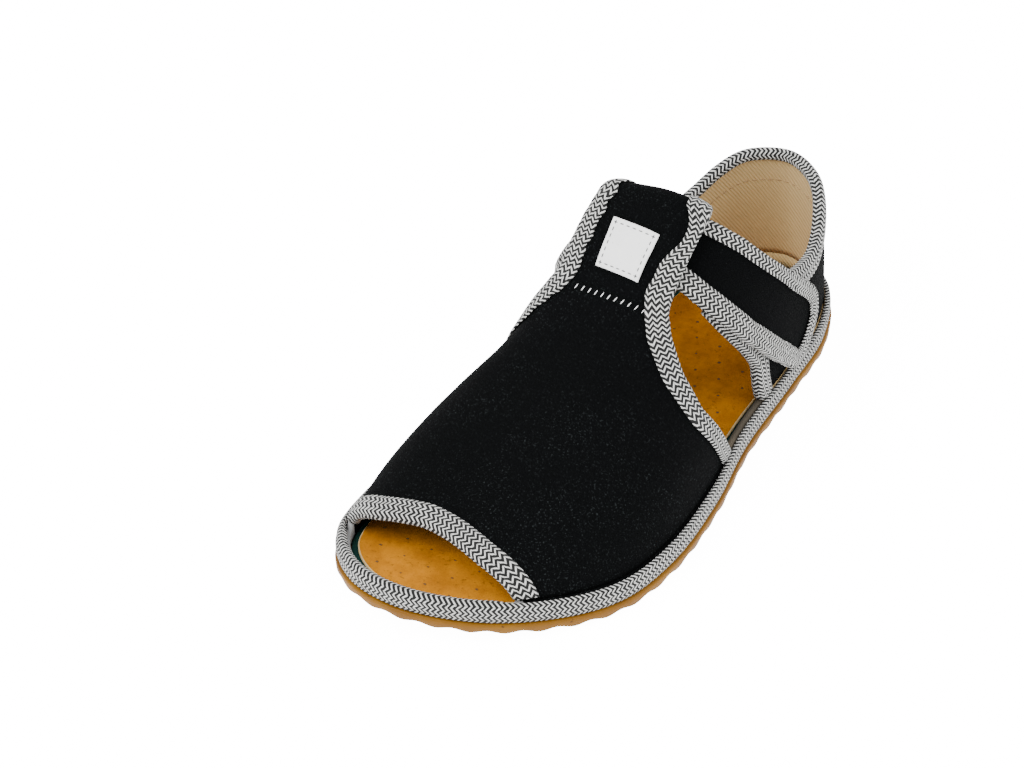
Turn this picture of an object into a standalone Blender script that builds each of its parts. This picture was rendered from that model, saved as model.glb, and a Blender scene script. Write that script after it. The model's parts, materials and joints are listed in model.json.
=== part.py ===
"""Childrens open-toe slipper, left foot: T-bar with a fold-over loop, closing strap and woven edge binding.

The lengths below are in millimetres and the meshes are made in metres. The toe points to -Y, the outer
(lateral) side of the foot is +X and +Z is up. A station runs along the sole from the heel (0) to the toe
(1), and a place across the upper is the arc along its section from the ridge, positive to the lateral side.
"""
import math
from functools import lru_cache

import bmesh
import bpy
import numpy as np
from mathutils import Vector

MM = 0.001
CLEAR = 0.3             # gap between neighbouring pieces

# Sole
LENGTH = 188.0
BALL_WIDTH = 80.0
SOLE_T = 3.0
TOE_SPRING = 4.6
SPRING_STATION = 0.745  # where the forefoot leaves the floor
LUG_PITCH = 9.0
LUG_RISE = 1.1
LUG_REACH = 4.5

# Band round the sole edge
BAND_INSET = 0.6
BAND_T = 1.6
BAND_H = 6.0
RIM_REACH = 2.2         # how far the band folds in over the toe rim
RIM_FOLD = 1.6          # thickness of that fold

# Footbed
FOAM_T = 1.1
INSOLE_T = 1.0
INSOLE_STEP = 1.4       # how far the footbed's edge stays inside the foam's

# Upper
INSTEP_HEIGHT = 64.0
COLLAR_HEIGHT = 45.0
HEEL_RADIUS = 30.0
WALL = 1.6

# Edge tape, strap, pad and label
TAPE_T = 0.55
TAPE_LEG = 5.2
STRAP_T = 1.4
STRAP_WIDTH = 16.6
LOOP_ROOM = 0.7         # room that the strap's tape has under the T-bar's
PAD_T = 0.7
PAD_START = 0.10        # where the pad starts and ends along the wing, from the T-bar (0) to the band (1)
PAD_END = 0.70
PAD_MARGIN = 1.2        # room left for the tape along a slanting edge, as a share of its leg
TIP_LENGTH = 7.0        # length of the strap's round end
LABEL_T = 0.5
LABEL_WIDTH = 12.2
LABEL_HEIGHT = 13.5
LABEL_STATION = 0.440
LABEL_ARC = 0.9         # arc of its middle

# Outline of the sole, clockwise from the heel seen from above: shares of LENGTH and of BALL_WIDTH.
OUTLINE = (
    # station, across
    (0.000, -0.015),
    (0.043, 0.191),
    (0.136, 0.310),
    (0.268, 0.360),
    (0.426, 0.406),
    (0.559, 0.479),
    (0.694, 0.515),
    (0.801, 0.479),
    (0.892, 0.348),
    (0.963, 0.161),
    (1.000, -0.066),
    (0.992, -0.259),
    (0.940, -0.415),
    (0.827, -0.488),
    (0.703, -0.475),
    (0.559, -0.400),
    (0.426, -0.345),
    (0.266, -0.325),
    (0.134, -0.310),
    (0.042, -0.205),
)

# Last, from toe to heel: ridge height as a share of INSTEP_HEIGHT, ridge place as a share of BALL_WIDTH,
# and how full the section is on each side (1 is an ellipse, less is fuller).
LAST = (
    # station, height, ridge, lateral, medial
    (1.000, 0.188, -0.100, 0.72, 0.72),
    (0.910, 0.312, -0.081, 0.75, 0.70),
    (0.872, 0.338, -0.078, 0.76, 0.67),
    (0.713, 0.497, -0.064, 0.82, 0.60),
    (0.500, 0.716, -0.050, 0.86, 0.52),
    (0.433, 0.844, -0.053, 0.88, 0.52),
    (0.356, 1.010, -0.056, 0.90, 0.54),
    (0.260, 1.250, -0.040, 0.92, 0.66),
    (0.160, 1.380, -0.006, 0.95, 0.85),
    (0.000, 1.484, -0.006, 0.95, 0.95),
)

# Front edge of the vamp over the toes: arc as a share of BALL_WIDTH.
TOE_EDGE = (
    # arc, station
    (-0.460, 0.900),
    (-0.325, 0.908),
    (-0.225, 0.910),
    (-0.125, 0.904),
    (-0.025, 0.897),
    (0.050, 0.899),
    (0.125, 0.904),
    (0.212, 0.909),
    (0.312, 0.910),
    (0.500, 0.907),
)

# Back edge of the vamp, from the band up to the foot of the T-bar, which starts at TBAR_STATION.
TBAR_STATION = 0.495
VAMP_EDGE_LATERAL = (
    # arc, station
    (0.800, 0.470),
    (0.690, 0.493),
    (0.585, 0.513),
    (0.455, 0.535),
    (0.365, 0.533),
    (0.285, 0.519),
    (0.236, 0.505),
    (0.216, 0.495),
)
VAMP_EDGE_MEDIAL = (
    # arc, station
    (-0.670, 0.490),
    (-0.590, 0.508),
    (-0.505, 0.528),
    (-0.425, 0.541),
    (-0.345, 0.541),
    (-0.275, 0.526),
    (-0.224, 0.508),
    (-0.200, 0.495),
)

# The T-bar: its two edges as arcs, and how far it stands off the last, as a share of its full lift.
TBAR = (
    # station, lateral, medial, lift
    (0.495, 0.216, -0.200, 0.00),
    (0.487, 0.199, -0.184, 0.14),
    (0.473, 0.188, -0.173, 0.66),
    (0.461, 0.183, -0.166, 1.00),
    (0.412, 0.173, -0.144, 1.03),
    (0.340, 0.166, -0.118, 1.10),
)
TBAR_REACH = 0.3        # half width of the part of the last that the T-bar's lift applies to
FOLD_STATION = 0.376    # centre of the fold at the T-bar's top
FOLD_SLANT = 0.13       # how far the fold leans back towards the lateral side, per mm across
RETURN_DIVE = 2.1       # how far the folded-in end tucks under the vamp
RETURN_END = 0.481

# Wings of the quarter, from the end under the T-bar to the foot on the band. Heights are shares of the way
# up to INSTEP_HEIGHT, from the band for the low edge and from the collar's low point for the high edge.
WING = (
    # low_station, low_height, high_station, high_height
    (0.438, 0.700, 0.378, 0.700),
    (0.423, 0.562, 0.354, 0.590),
    (0.406, 0.461, 0.330, 0.450),
    (0.380, 0.327, 0.298, 0.270),
    (0.363, 0.213, 0.271, 0.125),
    (0.361, 0.110, 0.248, 0.040),
    (0.353, 0.000, 0.226, 0.000),
)
# Collar behind the wings: heights are shares of COLLAR_HEIGHT.
COLLAR = (
    # station, height
    (0.226, 0.780),
    (0.180, 0.760),
    (0.135, 0.800),
    (0.085, 0.905),
    (0.040, 0.985),
    (0.000, 1.000),
)
LATERAL_GAP_END = 0.353
MEDIAL_GAP_END = 0.358

# Strap: its middle line as a station and an arc, its width and its tape's outer leg along each edge.
STRAP = (
    # station, arc, width, upper_leg, lower_leg
    (0.398, -0.440, 0.96, 0.80, 0.90),
    (0.412, -0.310, 0.92, 0.80, 0.90),
    (0.4175, -0.140, 0.89, 0.80, 0.90),
    (0.413, 0.000, 0.92, 0.75, 0.90),
    (0.402, 0.175, 1.00, 0.70, 0.95),
    (0.385, 0.330, 1.12, 0.65, 1.00),
    (0.363, 0.455, 1.20, 0.62, 1.00),
    (0.335, 0.575, 1.24, 0.62, 1.00),
    (0.296, 0.735, 1.24, 0.65, 1.00),
    (0.253, 0.880, 1.22, 0.75, 1.00),
    (0.226, 0.957, 1.20, 0.90, 1.00),
)

# How finely things are cut up.
LOOP_COUNT = 720
RIM_STEPS = 12
VAMP_STEPS = 13
GAP_STEPS = 4
HEEL_STEPS = 28
EDGE_STEPS = 7
WING_STEPS = 8
SHELL_ROWS = 5
TBAR_ACROSS = 6
FOLD_STEPS = 6
TBAR_ROWS = (0.10, 0.20, 0.30, 0.53, 0.77, 1.00)    # rows up its front, close together where it lifts off
RETURN_ROWS = (0.20, 0.40, 0.60, 0.80, 1.00)
STRAP_STEPS = 21
TIP_STEPS = 4
BAND_STEPS = 42
FOOTBED_STEPS = 40

# Worked-out sizes
FEATHER_INSET = BAND_INSET + BAND_T + CLEAR          # the upper's outer face where it meets the sole
PROUD = CLEAR + TAPE_T                               # how far tape stands off the wall it covers
STRAP_LIFT = max(PROUD, CLEAR + PAD_T) + CLEAR + PROUD  # last to the strap's inner face
LOOP_LIFT = STRAP_LIFT + STRAP_T + PROUD + LOOP_ROOM + PROUD + WALL
FOLD_R = (LOOP_LIFT * TBAR[-1][3] + WALL) / 2.0
HEEL_CENTRE_Y = LENGTH / 2.0 - HEEL_RADIUS
MARGIN_H = BAND_H - CLEAR                            # height of the upper's margin behind the band
RIM_MARGIN_H = BAND_H - RIM_FOLD - CLEAR             # and of its lower stretch, inside the toe rim


def column(table, number):
    return np.array([row[number] for row in table], float)


def eased(x, xs, ys):
    """A smooth curve through a table's rows that never overshoots them."""
    xs = np.asarray(xs, float)
    ys = np.asarray(ys, float)
    if xs[0] > xs[-1]:
        xs = xs[::-1]
        ys = ys[::-1]
    step = np.diff(xs)
    slope = np.diff(ys) / step
    lean = np.zeros(len(xs))
    same_way = slope[:-1] * slope[1:] > 0
    total = np.where(same_way, slope[:-1] + slope[1:], 1.0)
    lean[1:-1] = np.where(same_way, 2.0 * slope[:-1] * slope[1:] / total, 0.0)
    lean[0] = slope[0]
    lean[-1] = slope[-1]
    x = np.clip(np.asarray(x, float), xs[0], xs[-1])
    i = np.clip(np.searchsorted(xs, x) - 1, 0, len(xs) - 2)
    t = (x - xs[i]) / step[i]
    start = (1 + 2 * t) * (1 - t) ** 2 * ys[i] + t * (1 - t) ** 2 * step[i] * lean[i]
    end = t * t * (3 - 2 * t) * ys[i + 1] + t * t * (t - 1) * step[i] * lean[i + 1]
    return start + end


def y_at(station):
    return (0.5 - np.asarray(station, float)) * LENGTH


def smooth_loop(points, count):
    """A closed curve through the points, with count points spaced evenly along it."""
    points = np.asarray(points, float)
    fine = []
    for i in range(len(points)):
        before, start, end, after = (points[(i + k - 1) % len(points)] for k in range(4))
        chord = [math.sqrt(np.linalg.norm(b - a)) for a, b in ((before, start), (start, end), (end, after))]
        knots = np.cumsum([0.0] + chord)
        for t in np.linspace(knots[1], knots[2], 40, endpoint=False):
            level = [before, start, end, after]
            for reach in (1, 2, 3):
                joined = []
                for k in range(len(level) - 1):
                    low = knots[k]
                    high = knots[k + reach]
                    if reach == 3:
                        low, high = knots[1], knots[2]
                    joined.append((level[k] * (high - t) + level[k + 1] * (t - low)) / (high - low))
                level = joined
            fine.append(level[0])
    return even_loop(np.array(fine), count)


def even_loop(points, count):
    closed = np.vstack([points, points[:1]])
    run = np.concatenate([[0.0], np.cumsum(np.linalg.norm(np.diff(closed, axis=0), axis=1))])
    wanted = np.linspace(0.0, run[-1], count, endpoint=False)
    return np.stack([np.interp(wanted, run, closed[:, k]) for k in range(2)], axis=1)


def inset_loop(loop, distance):
    along = np.roll(loop, -1, 0) - np.roll(loop, 1, 0)
    along = along / np.linalg.norm(along, axis=1)[:, None]
    inward = np.stack([-along[:, 1], along[:, 0]], axis=1)
    if np.sum((loop.mean(0) - loop) * inward) < 0:
        inward = -inward
    return loop + inward * distance


def plan_points():
    return [(across * BALL_WIDTH, y_at(station)) for station, across in OUTLINE]


SOLE_LOOP = smooth_loop(plan_points(), LOOP_COUNT)
FEATHER = inset_loop(SOLE_LOOP, FEATHER_INSET)
FEATHER_RUN = np.concatenate([[0.0], np.cumsum(np.linalg.norm(np.diff(FEATHER, axis=0), axis=1))])
PERIMETER = FEATHER_RUN[-1] + np.linalg.norm(FEATHER[0] - FEATHER[-1])
TOE_INDEX = int(np.argmin(FEATHER[:, 1]))
TOE_RUN = FEATHER_RUN[TOE_INDEX]


def spring(y):
    """How high the sole's underside is off the floor."""
    start = y_at(SPRING_STATION)
    share = np.clip((start - np.asarray(y, float)) / (start + LENGTH / 2.0), 0.0, None)
    return TOE_SPRING * share ** 2


def feather_point(run):
    """Place on the feather line: 0 at the heel, positive along the lateral side."""
    run = run % PERIMETER
    xs = np.append(FEATHER[:, 0], FEATHER[0, 0])
    ys = np.append(FEATHER[:, 1], FEATHER[0, 1])
    lengths = np.append(FEATHER_RUN, PERIMETER)
    return np.interp(run, lengths, xs), np.interp(run, lengths, ys)


def run_at(y, side):
    """The feather line's length from the heel to a given y, signed by the side."""
    if side > 0:
        ys = FEATHER[:TOE_INDEX + 1, 1]
        return float(np.interp(-y, -ys, FEATHER_RUN[:TOE_INDEX + 1]))
    ys = np.append(FEATHER[TOE_INDEX:, 1], FEATHER[0, 1])
    lengths = np.append(FEATHER_RUN[TOE_INDEX:], PERIMETER)
    return float(np.interp(y, ys, lengths)) - PERIMETER


def station_of(y):
    return 0.5 - y / LENGTH


@lru_cache(maxsize=None)
def last_row(y):
    """Ridge height and place, foot of the section, and fullness on both sides."""
    station = station_of(y)
    stations = column(LAST, 0)
    height = float(eased(station, stations, column(LAST, 1))) * INSTEP_HEIGHT
    ridge = float(eased(station, stations, column(LAST, 2))) * BALL_WIDTH
    lateral = float(eased(station, stations, column(LAST, 3)))
    medial = float(eased(station, stations, column(LAST, 4)))
    return height, ridge, SOLE_T + float(spring(y)), lateral, medial


@lru_cache(maxsize=None)
def section(y):
    """Arc, x and z along the last's section at y, from the medial to the lateral feather line."""
    height, ridge, foot, lateral, medial = last_row(y)
    angle = np.radians(90.0 * np.sin(np.linspace(0.0, math.pi / 2.0, 90)))
    halves = []
    for side, full in ((1, lateral), (-1, medial)):
        reach = feather_point(run_at(y, side))[0] - ridge
        x = ridge + reach * np.abs(np.cos(angle)) ** full
        z = foot + (height - foot) * np.sin(angle) ** full
        halves.append((x[::-1], z[::-1]))
    x = np.concatenate([halves[1][0][::-1], halves[0][0][1:]])
    z = np.concatenate([halves[1][1][::-1], halves[0][1][1:]])
    run = np.concatenate([[0.0], np.cumsum(np.hypot(np.diff(x), np.diff(z)))])
    middle = len(halves[1][0]) - 1
    return run - run[middle], x, z


def last_point(y, arc):
    """A point on the last, by y and the arc from the ridge."""
    arcs, x, z = section(round(float(y), 4))
    return np.array([np.interp(arc, arcs, x), y, np.interp(arc, arcs, z)])


def arc_at_height(y, rise, side):
    """The arc at which the section stands a given rise above its foot."""
    arcs, _, z = section(round(float(y), 4))
    half = arcs >= 0 if side > 0 else arcs <= 0
    order = np.argsort(z[half])
    return float(np.interp(z[half][order][0] + rise, z[half][order], arcs[half][order]))


def wall_point(run, z):
    """A point on the last's side or heel, by the feather line's length and the height."""
    x, y = feather_point(run)
    x = float(x)
    y = float(y)
    row_y = min(y, HEEL_CENTRE_Y)
    height, ridge, foot, lateral, medial = last_row(round(row_y, 4))
    half_turn = (run % PERIMETER) < TOE_RUN
    full = lateral if half_turn else medial
    if y > HEEL_CENTRE_Y:
        share = (x - ridge) / max(math.hypot(x - ridge, y - row_y), 1e-6)
        full = medial + (lateral - medial) * (0.5 + 0.5 * share)
    rise = np.clip((z - foot) / (height - foot), 0.0, 1.0)
    shrink = math.cos(math.asin(min(1.0, rise ** (1.0 / full)))) ** full
    return np.array([ridge + (x - ridge) * shrink, row_y + (y - row_y) * shrink, z])


def normal_of(surface, a, b, outward, step=0.05):
    """Outward unit normal and the two derivatives of a surface."""
    along_a = (surface(a + step, b) - surface(a - step, b)) / (2 * step)
    along_b = (surface(a, b + step) - surface(a, b - step)) / (2 * step)
    normal = np.cross(along_a, along_b) * outward
    return normal / np.linalg.norm(normal), along_a, along_b


def raised(surface, outward, lift):
    """A surface parallel to another one."""
    def face(a, b):
        return surface(a, b) + normal_of(surface, a, b, outward)[0] * lift
    return face


def moved(surface, a, b, direction, distance):
    """Parameters of the surface point at a distance along a direction that lies in the surface."""
    for _ in range(3):
        _, along_a, along_b = normal_of(surface, a, b, 1)
        basis = np.stack([along_a, along_b], axis=1)
        change, *_ = np.linalg.lstsq(basis, direction * distance / 3.0, rcond=None)
        a += change[0]
        b += change[1]
    return a, b


LAST_OUT = -1           # sign that makes a (y, arc) surface's normal point outwards
WALL_OUT = -1           # and that of a (run, height) surface


# The vamp and T-bar, as one surface: y along the last, running on round the fold and back under it.
def fold_y(arc):
    return y_at(FOLD_STATION) + FOLD_SLANT * arc


def tbar_lift(y, arc=0.0):
    if abs(arc) > TBAR_REACH * BALL_WIDTH:
        return 0.0
    return LOOP_LIFT * float(eased(station_of(y), column(TBAR, 0), column(TBAR, 3)))


def ridge_slope(y):
    rise = last_row(round(y + 1.0, 4))[0] - last_row(round(y - 1.0, 4))[0]
    return rise / 2.0


def upper_point(u, arc):
    """Outer face of the vamp and T-bar. Past the fold's start, u goes on in millimetres round it."""
    start = fold_y(arc)
    turn = math.pi * FOLD_R
    top = tbar_lift(start)
    middle = (top - WALL) / 2.0
    radius = (top + WALL) / 2.0
    if u <= start:
        y = u
        lift = tbar_lift(u, arc)
    elif u <= start + turn:
        angle = (u - start) / FOLD_R
        y = start + radius * math.sin(angle) / math.hypot(1.0, ridge_slope(start))
        lift = middle + radius * math.cos(angle)
    else:
        y = start - (u - start - turn)
        root = y_at(RETURN_END)
        near_root = np.clip((root + 12.0 - y) / 8.0, 0.0, 1.0)
        lift = -WALL - RETURN_DIVE * near_root ** 2 * (3 - 2 * near_root)
    return last_point(y, arc) + normal_of(last_point, y, arc, LAST_OUT)[0] * lift


def tbar_arc(y, share):
    """Arc at a share across the T-bar: -1 on its medial edge, 1 on its lateral one."""
    station = station_of(y)
    lateral = float(eased(station, column(TBAR, 0), column(TBAR, 1))) * BALL_WIDTH
    medial = float(eased(station, column(TBAR, 0), column(TBAR, 2))) * BALL_WIDTH
    return medial + (lateral - medial) * (share + 1.0) / 2.0


def tbar_across(y):
    """Arcs of the T-bar's columns from its lateral edge to its medial one, with one under each tape's end."""
    lateral = tbar_arc(y, 1.0)
    medial = tbar_arc(y, -1.0)
    between = np.linspace(lateral - TAPE_LEG, medial + TAPE_LEG, TBAR_ACROSS - 1)
    return [lateral] + list(between) + [medial]


def tbar_places(number):
    """The (u, arc) places of one column: up the front, round the fold and back down inside."""
    places = []
    root = float(y_at(TBAR_STATION))
    end = float(y_at(RETURN_END))
    turn = math.pi * FOLD_R
    top = fold_y(tbar_across(fold_y(0.0))[number])
    for share in TBAR_ROWS:
        y = root + (top - root) * share
        arc = tbar_across(y)[number]
        places.append((min(y, fold_y(arc)), arc))
    arc = places[-1][1]
    for i in range(1, FOLD_STEPS + 1):
        places.append((fold_y(arc) + turn * i / FOLD_STEPS, arc))
    for share in RETURN_ROWS:
        y = top + (end - top) * share
        arc = tbar_across(max(y, root))[number]
        places.append((fold_y(arc) + turn + fold_y(arc) - y, arc))
    return places


# Features along the feather line
def toe_corner(side):
    arc = arc_at_height(float(y_at(0.905)), MARGIN_H, side)
    return float(y_at(eased(arc / BALL_WIDTH, column(TOE_EDGE, 0), column(TOE_EDGE, 1))))


def vamp_edge(side):
    return VAMP_EDGE_LATERAL if side > 0 else VAMP_EDGE_MEDIAL


def vamp_edge_places(side, count):
    """Places (y, arc) along the vamp's back edge, from the margin's top to the T-bar's foot."""
    table = vamp_edge(side)
    arcs = column(table, 0) * BALL_WIDTH
    ys = y_at(column(table, 1))
    t = np.linspace(0.0, 1.0, len(arcs))
    fine = np.linspace(0.0, 1.0, 400)
    fine_arc = eased(fine, t, arcs)
    fine_y = eased(fine, t, ys)
    limit = np.array([arc_at_height(y, MARGIN_H, side) for y in fine_y])
    inside = np.abs(fine_arc) <= np.abs(limit)
    first = int(np.argmax(inside))
    fine_arc = fine_arc[first:]
    fine_y = fine_y[first:]
    run = np.concatenate([[0.0], np.cumsum(np.hypot(np.diff(fine_arc), np.diff(fine_y)))])
    wanted = np.linspace(0.0, run[-1], count)
    return [(float(y), float(a)) for y, a in
            zip(np.interp(wanted, run, fine_y), np.interp(wanted, run, fine_arc))]


def wing_row(share):
    """Low and high edge of a wing, at a share of its rows from the T-bar to the band."""
    rows = np.linspace(0.0, 1.0, len(WING))
    return [float(eased(share, rows, column(WING, k))) for k in range(4)]


def collar_z(y):
    return float(eased(station_of(y), column(COLLAR, 0), column(COLLAR, 1))) * COLLAR_HEIGHT


# Mesh helpers
def parts_collection():
    collection = bpy.data.collections.new("childrens_slipper")
    bpy.context.scene.collection.children.link(collection)
    return collection


def finish_material(name, colour, roughness):
    material = bpy.data.materials.new(name)
    material.use_nodes = True
    shader = material.node_tree.nodes["Principled BSDF"]
    shader.inputs["Base Color"].default_value = (*colour, 1.0)
    shader.inputs["Roughness"].default_value = roughness
    shader.inputs["Metallic"].default_value = 0.0
    return material


def add_solid(collection, name, points, faces, material):
    """A closed solid, its faces turned outwards and its foot moved to the middle of the sole's box."""
    mesh = bpy.data.meshes.new(name)
    mesh.from_pydata([Vector((p[0] - ORIGIN_X, p[1] - ORIGIN_Y, p[2])) * MM for p in points], [], faces)
    solid = bmesh.new()
    solid.from_mesh(mesh)
    bmesh.ops.recalc_face_normals(solid, faces=solid.faces)
    solid.to_mesh(mesh)
    solid.free()
    mesh.materials.append(material)
    mesh.shade_smooth()
    piece = bpy.data.objects.new(name, mesh)
    collection.objects.link(piece)
    return piece


def outward_faces(points, faces):
    """Gives all faces of an open surface one direction, away from the foot."""
    surface = bmesh.new()
    corners = [surface.verts.new(Vector(p)) for p in points]
    surface.verts.index_update()
    for face in faces:
        surface.faces.new([corners[k] for k in face])
    bmesh.ops.recalc_face_normals(surface, faces=surface.faces)
    total = sum(face.normal.dot(Vector(from_axis(face.calc_center_median()))) for face in surface.faces)
    turned = [tuple(corner.index for corner in face.verts) for face in surface.faces]
    surface.free()
    if total < 0:
        turned = [tuple(reversed(face)) for face in turned]
    return turned


def from_axis(point):
    """Outward direction of the upper: away from a line a little above the insole."""
    y = min(point[1], HEEL_CENTRE_Y)
    return np.array([point[0] - last_row(round(float(y), 4))[1], point[1] - y, point[2] - SOLE_T])


def offset_steps(points, faces):
    """For each vertex, the step that moves every face round it outwards by one millimetre."""
    around = [[] for _ in points]
    for face in faces:
        corners = [points[k] for k in face]
        normal = np.cross(corners[2] - corners[0], corners[-1] - corners[1])
        normal = normal / np.linalg.norm(normal)
        for k in face:
            around[k].append(normal)
    steps = []
    for normals in around:
        step, *_ = np.linalg.lstsq(np.array(normals), np.ones(len(normals)), rcond=0.12)
        steps.append(step)
    return steps


def walled(points, faces, steps, thickness, strips=()):
    """The closed wall that an open surface makes when it is given a thickness inwards."""
    count = len(points)
    onward = {pair for edge, _ in strips for pair in zip(edge, edge[1:])}
    inner = [p - step * thickness for p, step in zip(points, steps)]
    solid = list(faces) + [tuple(k + count for k in reversed(face)) for face in faces]
    edges = {(a, b) for face in faces for a, b in zip(face, face[1:] + face[:1])}
    for a, b in sorted(edges):
        if (b, a) in edges:
            continue
        if (a, b) in onward:
            solid += [(b, a, b + count), (a, a + count, b + count)]
        elif (b, a) in onward:
            solid += [(b, a, a + count), (b, a + count, b + count)]
        else:
            solid.append((b, a, a + count, b + count))
    return list(points) + inner, solid


def split_under(faces, strips):
    """Halves the faces under each strip of tape the same way as the tape's own, so that they stay parallel."""
    diagonals = {}
    for edge, rail in strips:
        for k in range(len(edge) - 1):
            diagonals[frozenset((edge[k], edge[k + 1], rail[k], rail[k + 1]))] = (edge[k], rail[k + 1])
    halves = []
    for face in faces:
        if frozenset(face) not in diagonals:
            halves.append(face)
            continue
        start = face.index(diagonals[frozenset(face)][0])
        turned = face[start:] + face[:start]
        halves.append((turned[0], turned[1], turned[2]))
        halves.append((turned[0], turned[2], turned[3]))
    return halves


def add_sheet(collection, name, points, faces, thickness, material, strips=()):
    """A sheet of even thickness, grown inwards from its outer face. Returns that face's offset steps."""
    faces = split_under(outward_faces(points, faces), strips)
    steps = offset_steps(points, faces)
    add_solid(collection, name, *walled(points, faces, steps, thickness, strips), material)
    return steps


def grid_faces(rows, columns, start=0, wrap=False):
    faces = []
    last = columns if wrap else columns - 1
    for i in range(rows - 1):
        for j in range(last):
            a = start + i * columns + j
            b = start + i * columns + (j + 1) % columns
            faces.append((a, b, b + columns, a + columns))
    return faces


# Sole
def sole_ring(steps):
    """Points round the sole's outline, in pairs across it, from the heel down the lateral side and back."""
    heel = int(np.argmax(SOLE_LOOP[:, 1]))
    loop = np.roll(SOLE_LOOP, -heel, 0)
    toe = int(np.argmin(loop[:, 1]))
    lateral = loop[:toe + 1]
    medial = np.vstack([loop[toe:], loop[:1]])
    run = np.concatenate([[0.0], np.cumsum(np.linalg.norm(np.diff(lateral, axis=0), axis=1))])
    ys = np.interp(np.linspace(0.0, run[-1], steps + 1), run, lateral[:, 1])
    out = [(np.interp(-y, -lateral[:, 1], lateral[:, 0]), y) for y in ys]
    back = [(np.interp(y, medial[:, 1], medial[:, 0]), y) for y in ys[-2:0:-1]]
    return np.array(out + back)


def stack(collection, name, rings, steps, material):
    """A solid through rings of points, the first one capped below and the last one above."""
    count = 2 * steps
    points = [p for ring in rings for p in ring]
    faces = []
    for level in range(len(rings) - 1):
        for i in range(count):
            j = (i + 1) % count
            low = level * count
            faces.append((low + j, low + i, low + i + count, low + j + count))
    top = (len(rings) - 1) * count
    for k in range(steps):
        lateral, lateral_next = k, k + 1
        medial, medial_next = (count - k) % count, count - k - 1
        corners = [lateral, lateral_next, medial_next, medial]
        corners = list(dict.fromkeys(corners))
        faces.append(tuple(corners))
        faces.append(tuple(top + c for c in reversed(corners)))
    return add_solid(collection, name, points, faces, material)


def level_ring(ring, inset, height):
    """A ring of points at an inset and a height above the sole's underside."""
    shrunk = inset_loop(ring, inset)
    heights = height if np.ndim(height) else np.full(len(ring), height)
    return [(x, y, h + float(spring(y))) for (x, y), h in zip(shrunk, heights)]


def lug_ring():
    """The outsole's outline, four points to a lug's pitch."""
    run = np.sum(np.linalg.norm(SOLE_LOOP - np.roll(SOLE_LOOP, 1, 0), axis=1))
    return sole_ring(2 * int(round(run / LUG_PITCH)))


def box_middle(ring):
    return (ring.max(0) + ring.min(0)) / 2.0


ORIGIN_X, ORIGIN_Y = box_middle(lug_ring())


def make_outsole(collection):
    ring = lug_ring()
    between = np.arange(len(ring)) % 4 >= 2
    foot = np.where(between, LUG_RISE, 0.0)
    rings = [
        level_ring(ring, LUG_REACH, 0.0),
        level_ring(ring, 0.4, foot),
        level_ring(ring, 0.0, foot + 0.45),
        level_ring(ring, 0.0, SOLE_T - 0.35),
        level_ring(ring, 0.35, SOLE_T),
    ]
    gum = finish_material("gum_rubber", (0.42, 0.22, 0.05), 0.5)
    return stack(collection, "outsole", rings, len(ring) // 2, gum)


def make_footbed(collection):
    steps = FOOTBED_STEPS
    ring = sole_ring(steps)
    edge = FEATHER_INSET + WALL + CLEAR
    low = SOLE_T + CLEAR
    foam = [level_ring(ring, edge, low), level_ring(ring, edge, low + FOAM_T)]
    green = finish_material("green_foam", (0.01, 0.05, 0.04), 0.8)
    stack(collection, "insole_foam", foam, steps, green)
    low += FOAM_T + CLEAR
    edge += INSOLE_STEP
    sheet = [level_ring(ring, edge, low), level_ring(ring, edge, low + INSOLE_T)]
    ochre = finish_material("ochre_footbed", (0.62, 0.27, 0.03), 0.7)
    stack(collection, "insole", sheet, steps, ochre)


def rim_starts():
    """The places on the outline where the band starts to fold in, just past the toe edge's tape."""
    places = []
    for side in (1, -1):
        run = (run_at(toe_corner(side), side) + side * (PROUD + 2.0 * CLEAR)) % PERIMETER
        places.append(SOLE_LOOP[int(np.argmin(np.abs(FEATHER_RUN - run)))])
    return places


def band_ring():
    """Points round the band, with one where its fold starts on each side, and those two points' numbers."""
    ring = sole_ring(BAND_STEPS)
    ends = []
    for place in rim_starts():
        nearest = int(np.argmin(np.linalg.norm(ring - place, axis=1)))
        ring[nearest] = place
        ends.append(nearest)
    return ring, ends


def make_sole_binding(collection):
    """The band round the sole: a standing strip that folds in over the margin at the toe."""
    ring, (fold_start, fold_end) = band_ring()
    inner = BAND_INSET + BAND_T
    top = SOLE_T + BAND_H
    low = SOLE_T + CLEAR
    under = top - RIM_FOLD
    plain = (
        (BAND_INSET, low), (BAND_INSET, top - 0.6), (BAND_INSET + 0.5, top), (inner - 0.4, top),
        (inner, top - 0.4), (inner, top - 1.0), (inner, top - 1.7), (inner, low),
    )
    folded = (
        (BAND_INSET, low), (BAND_INSET, top - 0.9), (BAND_INSET + 0.8, top), (inner + RIM_REACH - 0.6, top),
        (inner + RIM_REACH, top - 0.6), (inner + RIM_REACH, under), (inner, under), (inner, low),
    )
    shares = [float(fold_start < k < fold_end) for k in range(len(ring))]
    columns = []
    for (flat_inset, flat_z), (fold_inset, fold_z) in zip(plain, folded):
        insets = np.array([flat_inset + (fold_inset - flat_inset) * s for s in shares])
        heights = np.array([flat_z + (fold_z - flat_z) * s for s in shares])
        columns.append(level_ring(ring, insets[:, None], heights))
    points = [columns[k][i] for i in range(len(ring)) for k in range(len(columns))]
    count = len(columns)
    faces = []
    for i in range(len(ring)):
        j = (i + 1) % len(ring)
        for k in range(count):
            n = (k + 1) % count
            faces.append((i * count + k, j * count + k, j * count + n, i * count + n))
    tape = finish_material("band_tape", (0.35, 0.35, 0.34), 0.85)
    return add_solid(collection, "sole_binding", points, faces, tape)


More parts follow.
